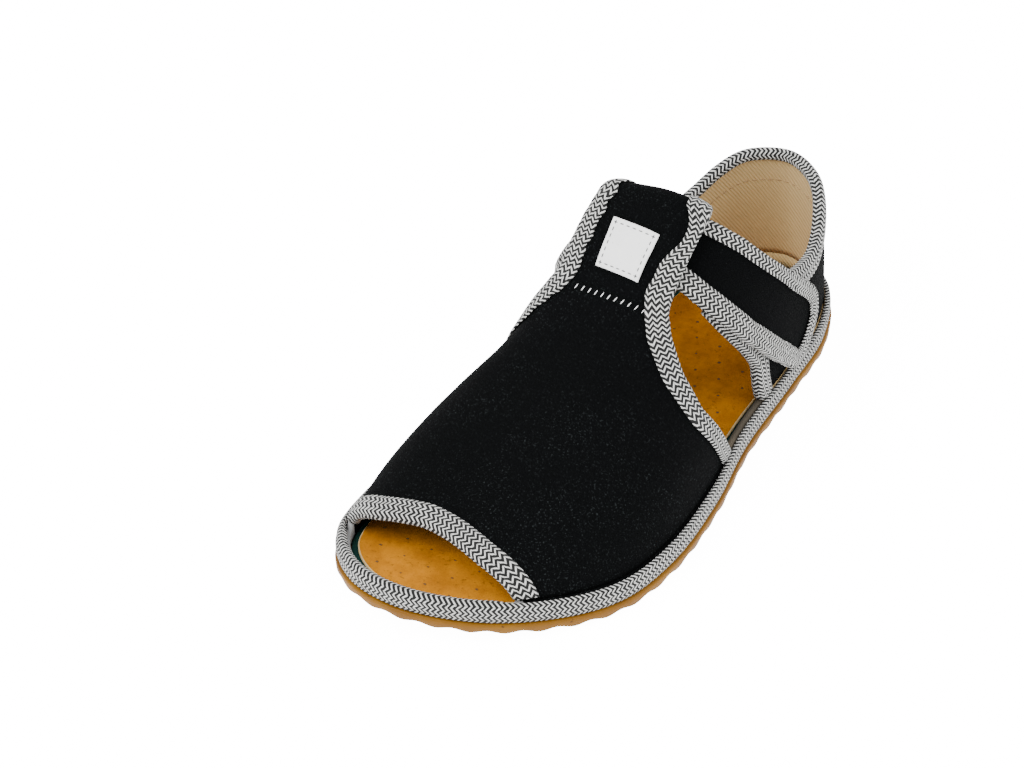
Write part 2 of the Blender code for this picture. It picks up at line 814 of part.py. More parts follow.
# Upper
def margin_runs():
    """Feather-line lengths of the margin's columns, by stretch."""
    lateral_vamp = run_at(vamp_edge_places(1, 8)[0][0], 1)
    medial_vamp = run_at(vamp_edge_places(-1, 8)[0][0], -1)
    lateral_toe = run_at(toe_corner(1), 1)
    medial_toe = run_at(toe_corner(-1), -1)
    lateral_wing = run_at(float(y_at(LATERAL_GAP_END)), 1)
    medial_wing = run_at(float(y_at(MEDIAL_GAP_END)), -1)
    return {
        "lateral": taped_runs(lateral_vamp, lateral_toe, VAMP_STEPS, TAPE_LEG),
        "toe": taped_runs(lateral_toe, medial_toe + PERIMETER, RIM_STEPS, PROUD + CLEAR),
        "medial": taped_runs(medial_toe, medial_vamp, VAMP_STEPS, TAPE_LEG),
        "medial_gap": np.linspace(medial_vamp, medial_wing, GAP_STEPS + 1),
        "heel": taped_runs(medial_wing, lateral_wing, HEEL_STEPS, TAPE_LEG),
        "lateral_gap": np.linspace(lateral_wing, lateral_vamp, GAP_STEPS + 1),
    }


def taped_runs(start, end, steps, leg):
    """Columns between two edges, the outer ones a tape's leg inside them."""
    way = math.copysign(leg, end - start)
    middle = np.linspace(start + way, end - way, steps - 1)
    return np.concatenate([[start], middle, [end]])


def margin_point(run, rise, upright):
    x, y = feather_point(run)
    z = SOLE_T + float(spring(y)) + rise
    if upright:
        return np.array([float(x), float(y), z])
    return wall_point(run, z)


def make_margin(points, faces):
    """The upper's margin, standing inside the band. Returns the top vertex of each column, by stretch."""
    runs = margin_runs()
    tops = {}
    order = ["lateral", "toe", "medial", "medial_gap", "heel", "lateral_gap"]
    columns = []
    for name in order:
        for i, run in enumerate(runs[name][:-1]):
            in_rim = name == "toe" and i > 0
            rise = RIM_MARGIN_H if in_rim else MARGIN_H
            low = len(points)
            points.append(margin_point(run, CLEAR, in_rim))
            points.append(margin_point(run, rise, in_rim))
            columns.append(low)
            tops.setdefault(name, []).append(low + 1)
    count = len(columns)
    for k, low in enumerate(columns):
        after = columns[(k + 1) % count]
        faces.append((low, after, after + 1, low + 1))
    for name, following in zip(order, order[1:] + order[:1]):
        tops[name].append(tops[following][0])
    return tops


def vamp_backs():
    """Places of the vamp's columns on its back edge and across the T-bar's foot, lateral side first."""
    root = float(y_at(TBAR_STATION))
    lateral = vamp_edge_places(1, EDGE_STEPS + 1)
    medial = vamp_edge_places(-1, EDGE_STEPS + 1)
    middle = [(root, arc) for arc in tbar_across(root)[1:-1]]
    return lateral + middle + medial[::-1]


def toe_places():
    """Places of the same columns on the vamp's front edge."""
    count = 2 * EDGE_STEPS + TBAR_ACROSS + 1
    places = []
    for k in range(count):
        share = 1.0 - 2.0 * k / (count - 1)
        arc = share * abs(arc_at_height(float(y_at(0.905)), MARGIN_H, 1 if share > 0 else -1))
        station = float(eased(arc / BALL_WIDTH, column(TOE_EDGE, 0), column(TOE_EDGE, 1)))
        y = float(y_at(station))
        places.append((y, share * abs(arc_at_height(y, MARGIN_H, 1 if share > 0 else -1))))
    return places


def edge_rails(surface, outward, places, turn, legs=None, level=()):
    """Where tape along an edge ends inside it. A level end is cut parallel to the sole, not square."""
    count = len(places)
    edge = np.array([surface(*place) for place in places])
    inner = []
    for i, place in enumerate(places):
        normal = normal_of(surface, *place, outward)[0]
        ahead = edge[min(i + 1, count - 1)] - edge[max(i - 1, 0)]
        inward = np.cross(normal, ahead) * turn
        inward = inward / np.linalg.norm(inward)
        reach = TAPE_LEG if legs is None else legs[i]
        from_end = min([abs(i - k % count) for k in level], default=9)
        if from_end < 2:
            flat = np.cross(normal, (0.0, 0.0, 1.0))
            flat = flat / np.linalg.norm(flat)
            if np.dot(flat, inward) < 0:
                flat = -flat
            weight = (1.0, 0.45)[from_end]
            mixed = flat * weight + inward * (1.0 - weight)
            mixed = mixed / np.linalg.norm(mixed)
            reach = reach / max(np.dot(mixed, inward), 0.6)
            inward = mixed
        inner.append(moved(surface, *place, inward, reach))
    return inner


def vamp_rails():
    """The two rows of places that lie under the inner ends of the tape, at the vamp's front and back."""
    backs = vamp_backs()
    corner = EDGE_STEPS + 1
    lateral = edge_rails(last_point, LAST_OUT, backs[:corner], 1, level=(0,))
    medial = edge_rails(last_point, LAST_OUT, backs[::-1][:corner], -1, level=(0,))[::-1]
    lateral = lateral[:-1]
    medial = medial[1:]
    middle = []
    for k in range(TBAR_ACROSS + 1):
        t = (k + 1.0) / (TBAR_ACROSS + 2.0)
        middle.append(tuple(a + (b - a) * t for a, b in zip(lateral[-1], medial[0])))
    back_row = lateral + middle + medial
    toe = toe_places()[::-1]
    front_row = edge_rails(last_point, LAST_OUT, toe, 1, level=(0, -1))[::-1]
    return front_row, back_row


def make_vamp(points, faces, tops):
    """The vamp's grid between the margin's two sides. Returns its rows of vertices, from the toe back."""
    lateral = tops["lateral"][::-1]
    medial = tops["medial"]
    front_row, back_row = vamp_rails()
    rows = [toe_places()]
    for i in range(1, VAMP_STEPS):
        t = (i - 1.0) / (VAMP_STEPS - 2.0)
        row = []
        for (front_y, front_arc), (back_y, back_arc) in zip(front_row, back_row):
            side = 1 if back_arc > 0 else -1
            front_share = front_arc / abs(arc_at_height(front_y, MARGIN_H, side))
            back_share = back_arc / abs(arc_at_height(back_y, MARGIN_H, side))
            y = front_y + (back_y - front_y) * t
            share = front_share + (back_share - front_share) * t
            row.append((y, share * abs(arc_at_height(y, MARGIN_H, side))))
        rows.append(row)
    rows.append(vamp_backs())
    grid = []
    for i, row in enumerate(rows):
        indices = [lateral[i]]
        for y, arc in row[1:-1]:
            indices.append(len(points))
            points.append(last_point(y, arc))
        grid.append(indices + [medial[i]])
    for low, high in zip(grid, grid[1:]):
        for k in range(len(low) - 1):
            faces.append((low[k], low[k + 1], high[k + 1], high[k]))
    turn_corner(faces, grid[-2], grid[-1], EDGE_STEPS)
    turn_corner(faces, grid[-2][::-1], grid[-1][::-1], EDGE_STEPS)
    return grid


def turn_corner(faces, low, last, k):
    """Lays the two faces at the T-bar's foot along the tape, which turns the corner there."""
    old = [frozenset((low[i], low[i + 1], last[i], last[i + 1])) for i in (k - 1, k)]
    faces[:] = [face for face in faces if frozenset(face) not in old]
    faces.append((low[k - 1], last[k + 1], last[k], last[k - 1]))
    faces.append((low[k - 1], low[k], low[k + 1], last[k + 1]))


def make_tbar(points, faces, root_row):
    """The T-bar, up from the vamp's middle columns, over the fold and down inside."""
    columns = []
    for k in range(TBAR_ACROSS + 1):
        indices = [root_row[k]]
        for u, arc in tbar_places(k):
            indices.append(len(points))
            points.append(upper_point(u, arc))
        columns.append(indices)
    for left, right in zip(columns, columns[1:]):
        for i in range(len(left) - 1):
            faces.append((left[i], right[i], right[i + 1], left[i + 1]))
    return columns


def wing_low(share, side):
    """Place (run, z) on a wing's lower edge, 0 at its end under the T-bar and 1 at the band."""
    low_station, low_height, _, _ = wing_row(share)
    end = LATERAL_GAP_END if side > 0 else MEDIAL_GAP_END
    station = low_station + (end - WING[-1][0]) * share
    band = SOLE_T + MARGIN_H
    return run_at(float(y_at(station)), side), band + low_height * (INSTEP_HEIGHT - band)


def wing_high(share, side):
    _, _, high_station, high_height = wing_row(share)
    low = COLLAR[0][1] * COLLAR_HEIGHT
    return run_at(float(y_at(high_station)), side), low + high_height * (INSTEP_HEIGHT - low)


def quarter_columns():
    """Low and high place (run, z) of each column, from the lateral wing's end to the medial one's."""
    runs = margin_runs()["heel"][::-1]
    shares = [k / WING_STEPS for k in range(WING_STEPS + 1)]
    columns = [(wing_low(s, 1), wing_high(s, 1)) for s in shares]
    start, _ = columns[-1][1]
    finish, _ = wing_high(1.0, -1)
    for k in range(1, HEEL_STEPS):
        high = start + (finish - start) * k / HEEL_STEPS
        y = float(feather_point(high)[1])
        columns.append(((runs[k], SOLE_T + MARGIN_H), (high, collar_z(y))))
    columns += [(wing_low(s, -1), wing_high(s, -1)) for s in reversed(shares)]
    return columns


def quarter_place(column_places, share):
    (low_run, low_z), (high_run, high_z) = column_places
    return low_run + (high_run - low_run) * share, low_z + (high_z - low_z) * share


def wing_low_places(side):
    """Places from the band up a wing's low edge to its end."""
    return [wing_low(1.0 - k / WING_STEPS, side) for k in range(WING_STEPS + 1)]


def quarter_rows():
    """Places of each column from the low edge to the high one, with one under each tape's end."""
    columns = quarter_columns()
    high_rail = edge_rails(wall_point, WALL_OUT, [high for _, high in columns], -1)
    low_rails = {}
    for side, first in ((1, 0), (-1, len(columns) - 1)):
        rail = edge_rails(wall_point, WALL_OUT, wing_low_places(side), -side, level=(0,))
        for k, place in enumerate(rail[::-1]):
            low_rails[first + k * side] = place
    rows = []
    for number, (low, high) in enumerate(columns):
        start = low_rails.get(number, low)
        if number in (WING_STEPS, WING_STEPS + HEEL_STEPS):
            start = low
        end = high_rail[number]
        inner = SHELL_ROWS - 2
        if start is low:
            between = [quarter_place((low, end), k / (inner + 1.0)) for k in range(1, inner + 2)]
        else:
            between = [quarter_place((start, end), k / float(inner)) for k in range(inner + 1)]
        rows.append([low] + between + [high])
    return rows


def make_quarter(points, faces, tops):
    """Quarter and wings as one strip round the heel."""
    heel = tops["heel"][::-1]
    grid = []
    for number, places in enumerate(quarter_rows()):
        on_margin = WING_STEPS <= number <= WING_STEPS + HEEL_STEPS
        indices = [heel[number - WING_STEPS]] if on_margin else []
        for place in places[len(indices):]:
            indices.append(len(points))
            points.append(wall_point(*place))
        grid.append(indices)
    for left, right in zip(grid, grid[1:]):
        for r in range(SHELL_ROWS):
            faces.append((left[r], right[r], right[r + 1], left[r + 1]))
    return grid


def make_upper(collection):
    """The whole upper as one surface with a wall's thickness, and the tape on each of its open edges."""
    points = []
    faces = []
    tops = make_margin(points, faces)
    vamp = make_vamp(points, faces, tops)
    tbar = make_tbar(points, faces, vamp[-1][EDGE_STEPS:EDGE_STEPS + TBAR_ACROSS + 1])
    quarter = make_quarter(points, faces, tops)
    felt = finish_material("black_felt", (0.006, 0.006, 0.007), 0.95)
    edges = upper_edges(vamp, tbar, quarter)
    strips = [(edge, rail) for _, edge, rail in edges]
    steps = add_sheet(collection, "upper", points, faces, WALL, felt, strips)
    skin = list(zip(points, steps))
    for name, edge, rail in edges:
        rows = [[skin[k] for k in row] for row in (edge, rail)]
        if name != "collar_binding":
            rows = [over_band(row) for row in rows]
        if name == "toe_binding":
            rows = [over_band(row[::-1])[::-1] for row in rows]
        make_binding(collection, name, *rows, WALL)
    make_label(collection, [[skin[k] for k in row] for row in tbar])


# Edge tape: a U round the edge of a wall, with legs outside and inside it
def upper_edges(vamp, tbar, quarter):
    """Names of the upper's tapes, with their rows of vertices: on the edge and under the tape's inner end."""
    kept = len(TBAR_ROWS) + FOLD_STEPS + 3
    low, last = vamp[-2:]
    edges = [
        ("toe_binding", vamp[0], vamp[1]),
        ("tbar_binding_lateral", last[:EDGE_STEPS] + tbar[0][:kept], low[:EDGE_STEPS] + tbar[1][:kept]),
        ("tbar_binding_medial", last[::-1][:EDGE_STEPS] + tbar[-1][:kept],
         low[::-1][:EDGE_STEPS] + tbar[-2][:kept]),
        ("collar_binding", [row[-1] for row in quarter], [row[-2] for row in quarter]),
    ]
    for name, rows in (("lateral", quarter), ("medial", quarter[::-1])):
        wing = rows[:WING_STEPS][::-1]
        edge = [rows[WING_STEPS][0]] + [row[0] for row in wing]
        edges.append(("wing_binding_" + name, edge, [rows[WING_STEPS + 1][0]] + [row[1] for row in wing]))
    return edges


def over_band(row):
    """Moves a row's first point along it until it stands just over the band."""
    heights = [p[2] - SOLE_T - float(spring(p[1])) for p, _ in row[:2]]
    share = np.clip((BAND_H + CLEAR - heights[0]) / (heights[1] - heights[0]), 0.0, 0.9)
    first = tuple(a + (b - a) * share for a, b in zip(row[0], row[1]))
    return [first] + row[1:]


def beyond_edge(edge, rail, i):
    """The step in the wall's own surface that moves the edge's neighbouring stretches out by one millimetre."""
    point, lift = edge[i]
    inward = rail[i][0] - point
    rows = [lift / np.linalg.norm(lift)]
    goal = [0.0]
    for k in (i - 1, i):
        if 0 <= k < len(edge) - 1:
            along = edge[k + 1][0] - edge[k][0]
            along = along / np.linalg.norm(along)
            out = -inward + along * np.dot(inward, along)
            out = out - rows[0] * np.dot(out, rows[0])
            rows.append(out / np.linalg.norm(out))
            goal.append(1.0)
    step, *_ = np.linalg.lstsq(np.array(rows), np.array(goal), rcond=0.12)
    return step


def make_binding(collection, name, edge, rail, wall):
    """Tape folded round the edge of a wall, from its inner end outside to its inner end inside."""
    points = []
    for i, ((base, lift), (inner, inner_lift)) in enumerate(zip(edge, rail)):
        out = beyond_edge(edge, rail, i)
        points += [
            inner + inner_lift * PROUD,
            base + lift * PROUD + out * CLEAR,
            base + lift * CLEAR + out * PROUD,
            base - lift * (wall + CLEAR) + out * PROUD,
            base - lift * (wall + PROUD) + out * CLEAR,
            inner - inner_lift * (wall + PROUD),
            inner - inner_lift * (wall + CLEAR),
            base - lift * (wall + CLEAR) + out * CLEAR,
            base + lift * CLEAR + out * CLEAR,
            inner + inner_lift * CLEAR,
        ]
    count = len(edge)
    width = len(points) // count
    strips = []
    for on_edge, on_rail in ((1, 0), (2, 3), (4, 5), (7, 6), (8, 7), (8, 9)):
        strips.append([[i * width + k for i in range(count)] for k in (on_edge, on_rail)])
    faces = split_under(grid_faces(count, width, wrap=True), strips)
    for start in (0, (count - 1) * width):
        for corners in ((0, 1, 8, 9), (1, 2, 8), (2, 3, 7, 8), (3, 4, 7), (4, 5, 6, 7)):
            faces.append(tuple(start + k for k in corners))
    tape = finish_material(name + "_tape", (0.35, 0.35, 0.34), 0.85)
    return add_solid(collection, name, points, faces, tape)


# Strap
def strap_face(y, arc):
    return last_point(y, arc) + normal_of(last_point, y, arc, LAST_OUT)[0] * (STRAP_LIFT + STRAP_T)


def strap_line():
    """Rows of middle place, half width and the two tape legs along the strap."""
    t = np.linspace(0.0, 1.0, len(STRAP))
    fine = np.linspace(0.0, 1.0, 240)
    ys = y_at(eased(fine, t, column(STRAP, 0)))
    arcs = eased(fine, t, column(STRAP, 1)) * BALL_WIDTH
    points = np.array([strap_face(y, a) for y, a in zip(ys, arcs)])
    run = np.concatenate([[0.0], np.cumsum(np.linalg.norm(np.diff(points, axis=0), axis=1))])
    body = np.linspace(0.0, run[-1] - TIP_LENGTH, STRAP_STEPS + 1)
    angles = np.linspace(0.0, math.radians(78.0), TIP_STEPS + 1)[1:]
    tip = run[-1] - TIP_LENGTH + TIP_LENGTH * np.sin(angles)
    rows = []
    for length in np.concatenate([body, tip]):
        share = float(np.interp(length, run, fine))
        beyond = max(0.0, (length - run[-1] + TIP_LENGTH) / TIP_LENGTH)
        narrowing = (1.0 - beyond ** 2.4) ** (1.0 / 2.4)
        half = STRAP_WIDTH / 2.0 * float(eased(share, t, column(STRAP, 2))) * narrowing
        legs = [TAPE_LEG * float(eased(share, t, column(STRAP, k))) for k in (3, 4)]
        place = (float(np.interp(length, run, ys)), float(np.interp(length, run, arcs)))
        rows.append((place, half, legs))
    return rows


def strap_places():
    """Places across the strap for each row: both edges, the tape's inner ends and the middle."""
    rows = strap_line()
    middles = [strap_face(*place) for place, _, _ in rows]
    grid = []
    for i, (place, half, legs) in enumerate(rows):
        ahead = middles[min(i + 1, len(rows) - 1)] - middles[max(i - 1, 0)]
        normal = normal_of(strap_face, *place, LAST_OUT)[0]
        down = np.cross(ahead, normal)
        down = down / np.linalg.norm(down)
        upper, lower = (min(leg, half * 0.9) for leg in legs)
        across = (-half, upper - half, 0.0, half - lower, half)
        grid.append([moved(strap_face, *place, down, distance) for distance in across])
    return grid


def make_strap(collection):
    """The strap and the tape round its two edges and its round end."""
    grid = strap_places()
    points = [strap_face(*place) for row in grid for place in row]
    across = len(grid[0])
    felt = finish_material("strap_felt", (0.006, 0.006, 0.007), 0.95)
    numbers = [list(range(i * across, (i + 1) * across)) for i in range(len(grid))]
    strips = (
        ([row[0] for row in numbers], [row[1] for row in numbers]),
        ([row[-1] for row in numbers[::-1]], [row[-2] for row in numbers[::-1]]),
    )
    steps = add_sheet(collection, "strap", points, grid_faces(len(grid), across), STRAP_T, felt, strips)
    skin = list(zip(points, steps))
    rows = [skin[i * across:(i + 1) * across] for i in range(len(grid))]
    edge = [row[0] for row in rows] + rows[-1][1:-1] + [row[-1] for row in rows][::-1]
    rail = [row[1] for row in rows] + [rows[-1][2]] * (across - 2) + [row[-2] for row in rows][::-1]
    body = len(rows) - TIP_STEPS
    target = rows[body - 1][2]
    for k in range(body, len(edge) - body):
        weight = 0.5 * min(1.0, min(k - body + 1, len(edge) - body - k) / (TIP_STEPS + 1.0))
        rail[k] = tuple(a + (b - a) * weight for a, b in zip(rail[k], target))
    make_binding(collection, "strap_binding", edge, rail, STRAP_T)


# Pad under the strap, and label
def make_loop_pad(collection):
    """The fastening pad on the lateral wing, between the tapes of its two edges."""
    face = raised(wall_point, WALL_OUT, CLEAR + PAD_T)
    points = []
    shares = [PAD_START + (PAD_END - PAD_START) * k / 7 for k in range(8)]
    for share in shares:
        places = (wing_low(share, 1), wing_high(share, 1))
        ends = [wall_point(*place) for place in places]
        height = np.linalg.norm(ends[1] - ends[0])
        margin = (TAPE_LEG * PAD_MARGIN + CLEAR) / height
        for k in range(4):
            points.append(face(*quarter_place(places, margin + (1.0 - 2.0 * margin) * k / 3)))
    grey = finish_material("grey_pad", (0.2, 0.2, 0.2), 0.9)
    add_sheet(collection, "loop_pad", points, grid_faces(len(shares), 4), PAD_T, grey)


def tbar_skin(columns, y, arc):
    """Point and offset step on the T-bar's front, by y and arc, between the columns' own rows."""
    root = float(y_at(TBAR_STATION))
    top = fold_y(0.0)
    level = float(np.interp((y - root) / (top - root), (0.0,) + TBAR_ROWS, range(len(TBAR_ROWS) + 1)))
    arcs = tbar_across(y)[::-1]
    place = float(np.interp(arc, arcs, range(len(arcs))[::-1]))
    row = min(int(level), len(TBAR_ROWS) - 1)
    number = min(int(place), len(arcs) - 2)
    mixed = []
    for part in (0, 1):
        low, high = (
            columns[number][k][part] * (1.0 - place + number) + columns[number + 1][k][part] * (place - number)
            for k in (row, row + 1))
        mixed.append(low + (high - low) * (level - row))
    return mixed


def make_label(collection, columns):
    """The patch on the T-bar, between the stitched foot and the fold."""
    middle = float(y_at(LABEL_STATION))
    half = LABEL_HEIGHT / 2.0 / math.hypot(1.0, ridge_slope(middle))
    root = float(y_at(TBAR_STATION))
    top = fold_y(0.0)
    bends = [root + (top - root) * share for share in TBAR_ROWS]
    ys = [middle - half] + [y for y in bends if abs(y - middle) < half] + [middle + half]
    points = []
    for y in ys:
        for k in range(4):
            base, lift = tbar_skin(columns, y, LABEL_ARC + LABEL_WIDTH * (k / 3.0 - 0.5))
            points.append(base + lift * (CLEAR + LABEL_T))
    white = finish_material("white_label", (0.8, 0.8, 0.8), 0.7)
    add_sheet(collection, "label", points, grid_faces(len(ys), 4), LABEL_T, white)


def main():
    for old in list(bpy.data.objects):
        bpy.data.objects.remove(old, do_unlink=True)
    collection = parts_collection()
    make_outsole(collection)
    make_footbed(collection)
    make_sole_binding(collection)
    make_upper(collection)
    make_strap(collection)
    make_loop_pad(collection)


main()
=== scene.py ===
# %% [markdown]
# A childrens slipper: felt upper, woven edge tape and a thin rubber sole
# The model from the CAD step is loaded as a fixed frame. Each of its solids is plain, so this file makes a
# finer piece in the same place and gives it the look of felt, woven tape, cork leather or rubber. The shapes
# come from the same few sizes as the solids, so a finer piece keeps the form of the one that it stands for.
# Lengths here are millimetres until a mesh is made, because that is how a maker of slippers thinks of them.

# %% Frame
import json
import math
from functools import lru_cache

import bmesh
import bpy
import numpy as np
from mathutils import Matrix, Vector

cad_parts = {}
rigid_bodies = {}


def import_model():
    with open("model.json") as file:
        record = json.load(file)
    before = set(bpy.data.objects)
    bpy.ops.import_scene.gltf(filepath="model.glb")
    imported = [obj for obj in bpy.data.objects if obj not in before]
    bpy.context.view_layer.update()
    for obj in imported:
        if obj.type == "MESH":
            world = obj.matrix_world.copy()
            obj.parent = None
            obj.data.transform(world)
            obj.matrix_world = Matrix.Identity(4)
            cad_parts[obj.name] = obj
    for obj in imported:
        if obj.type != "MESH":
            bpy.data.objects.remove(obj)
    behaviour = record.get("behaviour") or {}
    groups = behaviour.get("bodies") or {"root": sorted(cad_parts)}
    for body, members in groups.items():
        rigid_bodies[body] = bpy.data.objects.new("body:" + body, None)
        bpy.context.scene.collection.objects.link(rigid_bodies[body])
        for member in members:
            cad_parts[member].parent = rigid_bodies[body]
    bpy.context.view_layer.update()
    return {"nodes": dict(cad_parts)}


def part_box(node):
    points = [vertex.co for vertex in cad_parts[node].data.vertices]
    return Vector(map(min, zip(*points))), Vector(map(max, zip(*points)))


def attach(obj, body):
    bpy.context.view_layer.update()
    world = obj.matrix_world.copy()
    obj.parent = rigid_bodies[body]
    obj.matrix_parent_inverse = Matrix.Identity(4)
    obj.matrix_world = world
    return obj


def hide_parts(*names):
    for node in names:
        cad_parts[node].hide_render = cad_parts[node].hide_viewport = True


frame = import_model()
MM = 0.001
outsole_low, outsole_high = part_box("outsole")
print("nodes", len(frame["nodes"]), "height", round(outsole_high[2] - outsole_low[2], 4))

# %% [markdown]
# Sizes of the slipper
# A slipper is drawn from a few numbers: the length of the sole, the width at the ball, the height of the
# instep and of the collar. All other places are shares of these, kept in short tables.

# %% Sizes
CLEAR = 0.3             # gap between neighbouring pieces

# Sole
LENGTH = 188.0
BALL_WIDTH = 80.0
SOLE_T = 3.0
TOE_SPRING = 4.6
SPRING_STATION = 0.745  # where the forefoot leaves the floor
LUG_PITCH = 9.0
LUG_RISE = 1.1
LUG_REACH = 4.5

# Band round the sole edge
BAND_INSET = 0.6
BAND_T = 1.6
BAND_H = 6.0
RIM_REACH = 2.2         # how far the band folds in over the toe rim
RIM_FOLD = 1.6          # thickness of that fold

# Footbed
FOAM_T = 1.1
INSOLE_T = 1.0
INSOLE_STEP = 1.4       # how far the footbed's edge stays inside the foam's

# Upper
INSTEP_HEIGHT = 64.0
COLLAR_HEIGHT = 45.0
HEEL_RADIUS = 30.0
WALL = 1.6

# Edge tape, strap, pad and label
TAPE_T = 0.55
TAPE_LEG = 5.2
STRAP_T = 1.4
STRAP_WIDTH = 16.6
LOOP_ROOM = 0.7         # room that the strap's tape has under the T-bar's
PAD_T = 0.7
PAD_START = 0.10        # where the pad starts and ends along the wing, from the T-bar (0) to the band (1)
PAD_END = 0.70
PAD_MARGIN = 1.2        # room left for the tape along a slanting edge, as a share of its leg
TIP_LENGTH = 9.0        # length of the strap's round end
LABEL_T = 0.5
LABEL_WIDTH = 12.2
LABEL_HEIGHT = 13.5
LABEL_STATION = 0.440
LABEL_ARC = 0.9         # arc of its middle

# %% Tables of the outline, the last and the cut of the upper
# Outline of the sole, clockwise from the heel seen from above: shares of LENGTH and of BALL_WIDTH.
OUTLINE = (
    # station, across
    (0.000, -0.015),
    (0.043, 0.191),
    (0.136, 0.310),
    (0.268, 0.360),
    (0.426, 0.406),
    (0.559, 0.479),
    (0.694, 0.515),
    (0.801, 0.479),
    (0.892, 0.348),
    (0.963, 0.161),
    (1.000, -0.066),
    (0.992, -0.259),
    (0.940, -0.415),
    (0.827, -0.488),
    (0.703, -0.475),
    (0.559, -0.400),
    (0.426, -0.345),
    (0.266, -0.325),
    (0.134, -0.310),
    (0.042, -0.205),
)

# Last, from toe to heel: ridge height as a share of INSTEP_HEIGHT, ridge place as a share of BALL_WIDTH,
# and how full the section is on each side (1 is an ellipse, less is fuller).
LAST = (
    # station, height, ridge, lateral, medial
    (1.000, 0.188, -0.100, 0.72, 0.72),
    (0.910, 0.312, -0.081, 0.75, 0.70),
    (0.872, 0.338, -0.078, 0.76, 0.67),
    (0.713, 0.497, -0.064, 0.82, 0.60),
    (0.500, 0.716, -0.050, 0.86, 0.52),
    (0.433, 0.844, -0.053, 0.88, 0.52),
    (0.356, 1.010, -0.056, 0.90, 0.54),
    (0.260, 1.250, -0.040, 0.92, 0.66),
    (0.160, 1.380, -0.006, 0.95, 0.85),
    (0.000, 1.484, -0.006, 0.95, 0.95),
)

# Front edge of the vamp over the toes: arc as a share of BALL_WIDTH.
TOE_EDGE = (
    # arc, station
    (-0.460, 0.900),
    (-0.325, 0.908),
    (-0.225, 0.910),
    (-0.125, 0.904),
    (-0.025, 0.897),
    (0.050, 0.899),
    (0.125, 0.904),
    (0.212, 0.909),
    (0.312, 0.910),
    (0.500, 0.907),
)
TOE_CORNER_STATION = 0.905      # where that edge meets the band

# Back edge of the vamp, from the band up to the foot of the T-bar, which starts at TBAR_STATION.
TBAR_STATION = 0.495
VAMP_EDGE_LATERAL = (
    # arc, station
    (0.800, 0.470),
    (0.690, 0.493),
    (0.585, 0.513),
    (0.455, 0.535),
    (0.365, 0.533),
    (0.285, 0.519),
    (0.236, 0.505),
    (0.216, 0.495),
)
VAMP_EDGE_MEDIAL = (
    # arc, station
    (-0.670, 0.490),
    (-0.590, 0.508),
    (-0.505, 0.528),
    (-0.425, 0.541),
    (-0.345, 0.541),
    (-0.275, 0.526),
    (-0.224, 0.508),
    (-0.200, 0.495),
)

# The T-bar: its two edges as arcs, shares of BALL_WIDTH.
TBAR = (
    # station, lateral, medial
    (0.495, 0.216, -0.200),
    (0.487, 0.199, -0.184),
    (0.473, 0.188, -0.173),
    (0.461, 0.183, -0.166),
    (0.412, 0.173, -0.144),
    (0.340, 0.166, -0.118),
)
# The cloth starts to rise in front of the T-bar's foot, because it lies over the strap. The lift is a share
# of the T-bar's full lift, and it fades towards both sides of the vamp.
RISE = (
    # station, lift
    (0.600, 0.00),
    (0.560, 0.07),
    (0.525, 0.25),
    (0.495, 0.46),
    (0.475, 0.63),
    (0.455, 0.80),
    (0.430, 0.94),
    (0.412, 1.02),
    (0.340, 1.10),
)
RISE_FULL = 19.0        # arc up to which the cloth rises fully, and where the rise has faded out
RISE_END = 44.0
FOLD_STATION = 0.376    # centre of the fold at the T-bar's top
FOLD_SLANT = 0.13       # how far the fold leans back towards the lateral side, per mm across
RETURN_DIVE = 2.1       # how far the folded-in end tucks under the vamp
RETURN_END = 0.481
DIVE_START = 12.0       # where the tucking starts, behind the folded-in end, and over what length it grows
DIVE_LENGTH = 8.0

# Wings of the quarter, from the end under the T-bar to the foot on the band. Heights are shares of the way
# up to INSTEP_HEIGHT, from the band for the low edge and from the collar's low point for the high edge.
WING = (
    # low_station, low_height, high_station, high_height
    (0.438, 0.700, 0.378, 0.700),
    (0.423, 0.562, 0.354, 0.590),
    (0.406, 0.461, 0.330, 0.450),
    (0.380, 0.327, 0.298, 0.270),
    (0.363, 0.213, 0.271, 0.125),
    (0.361, 0.110, 0.248, 0.040),
    (0.353, 0.000, 0.226, 0.000),
)
# Collar behind the wings: heights are shares of COLLAR_HEIGHT.
COLLAR = (
    # station, height
    (0.226, 0.780),
    (0.180, 0.760),
    (0.135, 0.800),
    (0.085, 0.905),
    (0.040, 0.985),
    (0.000, 1.000),
)
LATERAL_GAP_END = 0.353
MEDIAL_GAP_END = 0.358

# Strap: its middle line as a station and an arc, its width and its tape's outer leg along each edge.
STRAP = (
    # station, arc, width, upper_leg, lower_leg
    (0.398, -0.440, 0.96, 0.80, 0.90),
    (0.412, -0.310, 0.92, 0.80, 0.90),
    (0.4175, -0.140, 0.89, 0.80, 0.90),
    (0.413, 0.000, 0.92, 0.75, 0.90),
    (0.402, 0.175, 1.10, 0.66, 0.92),
    (0.385, 0.330, 1.26, 0.62, 0.95),
    (0.363, 0.455, 1.30, 0.60, 0.95),
    (0.335, 0.575, 1.32, 0.60, 0.95),
    (0.296, 0.735, 1.32, 0.65, 0.95),
    (0.253, 0.880, 1.30, 0.72, 0.95),
    (0.226, 0.957, 1.28, 0.80, 0.90),
)
print("rows: outline", len(OUTLINE), "last", len(LAST), "strap", len(STRAP))

# %% [markdown]
# Lifts
# The layers of a slipper lie on each other like clothes. Each layer's distance from the last is the sum of
# what lies under it, so a thicker felt moves all that is above it.

